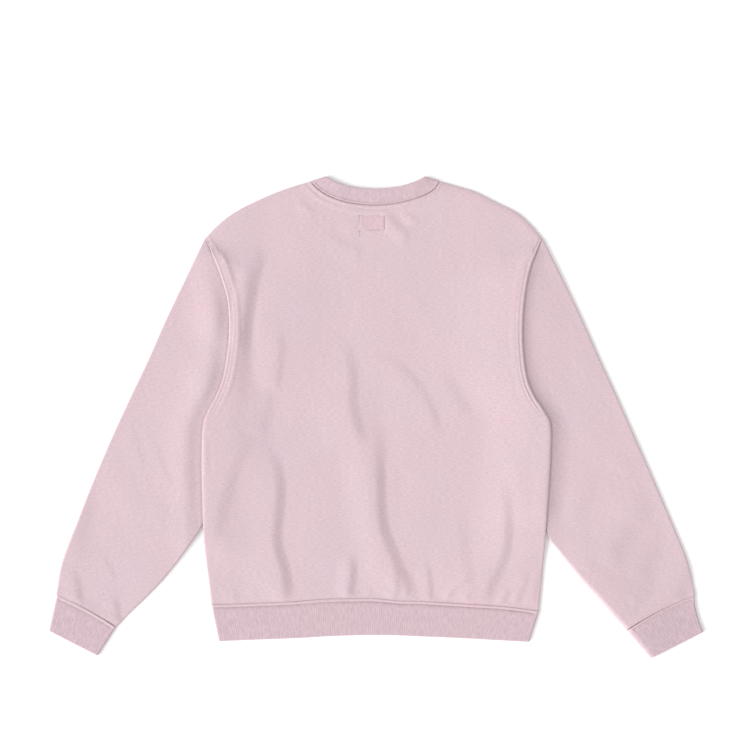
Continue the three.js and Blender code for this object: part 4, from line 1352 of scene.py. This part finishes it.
def armhole_lines():
    lines = []
    for side in SIDES:
        for row in ARMHOLE_STITCHES[side]:
            lines.append(offset_line(ARMHOLE[side], row, SIGN[side])[6:-8])
    return lines


def label_lines():
    left, right, bottom, top = (LABEL[key] for key in ("left", "right", "bottom", "top"))
    corners = [(left, top), (right, top), (right, bottom), (left, bottom)]
    lines = [(a, b) for a, b in zip(corners, corners[1:] + corners[:1])]
    return lines + [((x, y + STITCH["length"] / 2), (x, y - STITCH["length"] / 2)) for x, y in LABEL_TACKS]


def cuff_line(side):
    plan = sleeve_plan(side)
    along = 1 - HEM_STITCHES / SLEEVE_LENGTH
    return curve_points(lambda u: plan(lerp(0.03, 0.97, u), np.full_like(u, along)))


def build_stitches():
    body = armhole_lines()
    body += [offset_line(NECK_LINES["back"], row, -1)[8:-8] for row in NECK_STITCHES]
    body += [offset_line(HEM_LINE, HEM_STITCHES, 1)] + SHOULDER_MARKS
    below = armhole_lines() + [offset_line(NECK_LINES["front"], row, -1)[8:-8] for row in NECK_STITCHES]
    below += [offset_line(HEM_LINE, HEM_STITCHES + 0.0004, 1)]
    threads = {
        "back": [
            stitch_piece("thread_back", body, back_top, thread),
            stitch_piece("thread_label", label_lines(), back_top, label_thread),
        ],
        "front": [stitch_piece("thread_front", below, front_underside, thread, side=-1)],
    }
    for side in SIDES:
        surface = sleeve_top(side, sleeve_plan(side))
        name = f"sleeve_{side}"
        threads[name] = [stitch_piece(f"thread_{name}", [cuff_line(side)], surface, thread)]
    return threads


# The garment

def flat_size(*plans):
    """Width, length and area of a piece's cut, all round where it has an upper and a lower plan."""
    share = np.linspace(0, 1, 81)
    widths, lengths, areas = [], [], []
    for plan in plans:
        x, y = plan(share[None, :], share[:, None])
        across = np.hypot(np.diff(x, axis=1), np.diff(y, axis=1)).sum(1)
        along = np.hypot(np.diff(x, axis=0), np.diff(y, axis=0)).sum(0)
        ax, ay = np.diff(x, axis=1)[:-1], np.diff(y, axis=1)[:-1]
        bx, by = np.diff(x, axis=0)[:, :-1], np.diff(y, axis=0)[:, :-1]
        widths.append(across.max())
        lengths.append(along.max())
        areas.append(np.abs(ax * by - ay * bx).sum())
    return sum(widths), max(lengths), sum(areas)


pieces = {
    "back": (build_back(), [body_plan("back")], ["front"]),
    "front": (build_front(), [body_plan("front")], []),
    "hem_band": (*build_hem(), []),
    "collar": (*build_collar(), []),
}
for side in SIDES:
    pieces[f"sleeve_{side}"] = (build_sleeve(side), [sleeve_plan(side)] * 2, ["front"])
    pieces[f"cuff_{side}"] = (*build_cuff(side), [])

threads = build_stitches()
for node, (piece, plans, below) in pieces.items():
    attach(piece, "root")
    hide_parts(node)
    rows = threads.get(node, [])
    for row in rows:
        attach(row, "root")
    width, length, area = flat_size(*plans)
    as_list(below)
    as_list(rows)


# Stage, light and camera

FLOOR = {"reach": 6.0, "height": -0.0001, "glow": 0.15}
SKY_STRENGTH = 0.625
SUN = {"energy": 2.68, "angle": 42, "elevation": 33, "azimuth": 200}
PHOTO = {"pixels": 750, "pixel": 0.001525, "centre": (-0.0020, 0.0639)}
CAMERA = {"height": 3.0, "sensor": 36.0}  # metres above the back, and millimetres


def build_floor():
    mesh = bpy.data.meshes.new("floor")
    reach = FLOOR["reach"]
    signs = ((-1, -1), (1, -1), (1, 1), (-1, 1))
    corners = [(x * reach, y * reach, FLOOR["height"]) for x, y in signs]
    mesh.from_pydata(corners, [], [(0, 1, 2, 3)])
    material = bpy.data.materials.new("floor_paper")
    n = Nodes(material)
    place = n.add("ShaderNodeTexCoord").outputs["Object"]
    grain = n.add("ShaderNodeTexNoise", Vector=place, Scale=400.0, Detail=2.0).outputs[0]
    n.plug(n.shader, "Base Color", n.mix(grain, (0.93, 0.93, 0.93, 1.0), (0.95, 0.95, 0.95, 1.0)))
    n.shader.inputs["Roughness"].default_value = 1.0
    n.shader.inputs["Specular IOR Level"].default_value = 0.0
    n.shader.inputs["Emission Color"].default_value = (1.0, 1.0, 1.0, 1.0)
    n.shader.inputs["Emission Strength"].default_value = FLOOR["glow"]
    mesh.materials.append(material)
    floor = bpy.data.objects.new("floor", mesh)
    bpy.context.collection.objects.link(floor)


def build_light():
    world = bpy.data.worlds.new("studio")
    world.use_nodes = True
    background = world.node_tree.nodes["Background"]
    background.inputs["Color"].default_value = (1.0, 1.0, 1.0, 1.0)
    background.inputs["Strength"].default_value = SKY_STRENGTH
    bpy.context.scene.world = world
    key = bpy.data.lights.new("key", "SUN")
    key.energy = SUN["energy"]
    key.angle = math.radians(SUN["angle"])
    lamp = bpy.data.objects.new("key", key)
    elevation, azimuth = math.radians(SUN["elevation"]), math.radians(SUN["azimuth"])
    lamp.location = Vector((
        math.cos(azimuth) * math.cos(elevation),
        math.sin(azimuth) * math.cos(elevation),
        math.sin(elevation),
    )) * 3.0
    lamp.rotation_euler = lamp.location.to_track_quat("Z", "Y").to_euler()
    bpy.context.collection.objects.link(lamp)


def build_camera():
    """Straight above the garment, far off, with the photo's framing."""
    seen = PHOTO["pixels"] * PHOTO["pixel"]
    data = bpy.data.cameras.new("camera")
    data.sensor_width = CAMERA["sensor"]
    data.lens = CAMERA["sensor"] * CAMERA["height"] / seen
    camera = bpy.data.objects.new("camera", data)
    camera.location = (*PHOTO["centre"], CAMERA["height"] + BACK_REST)
    bpy.context.collection.objects.link(camera)
    bpy.context.scene.camera = camera


build_floor()
build_light()
build_camera()
bpy.context.scene.view_settings.view_transform = "Standard"
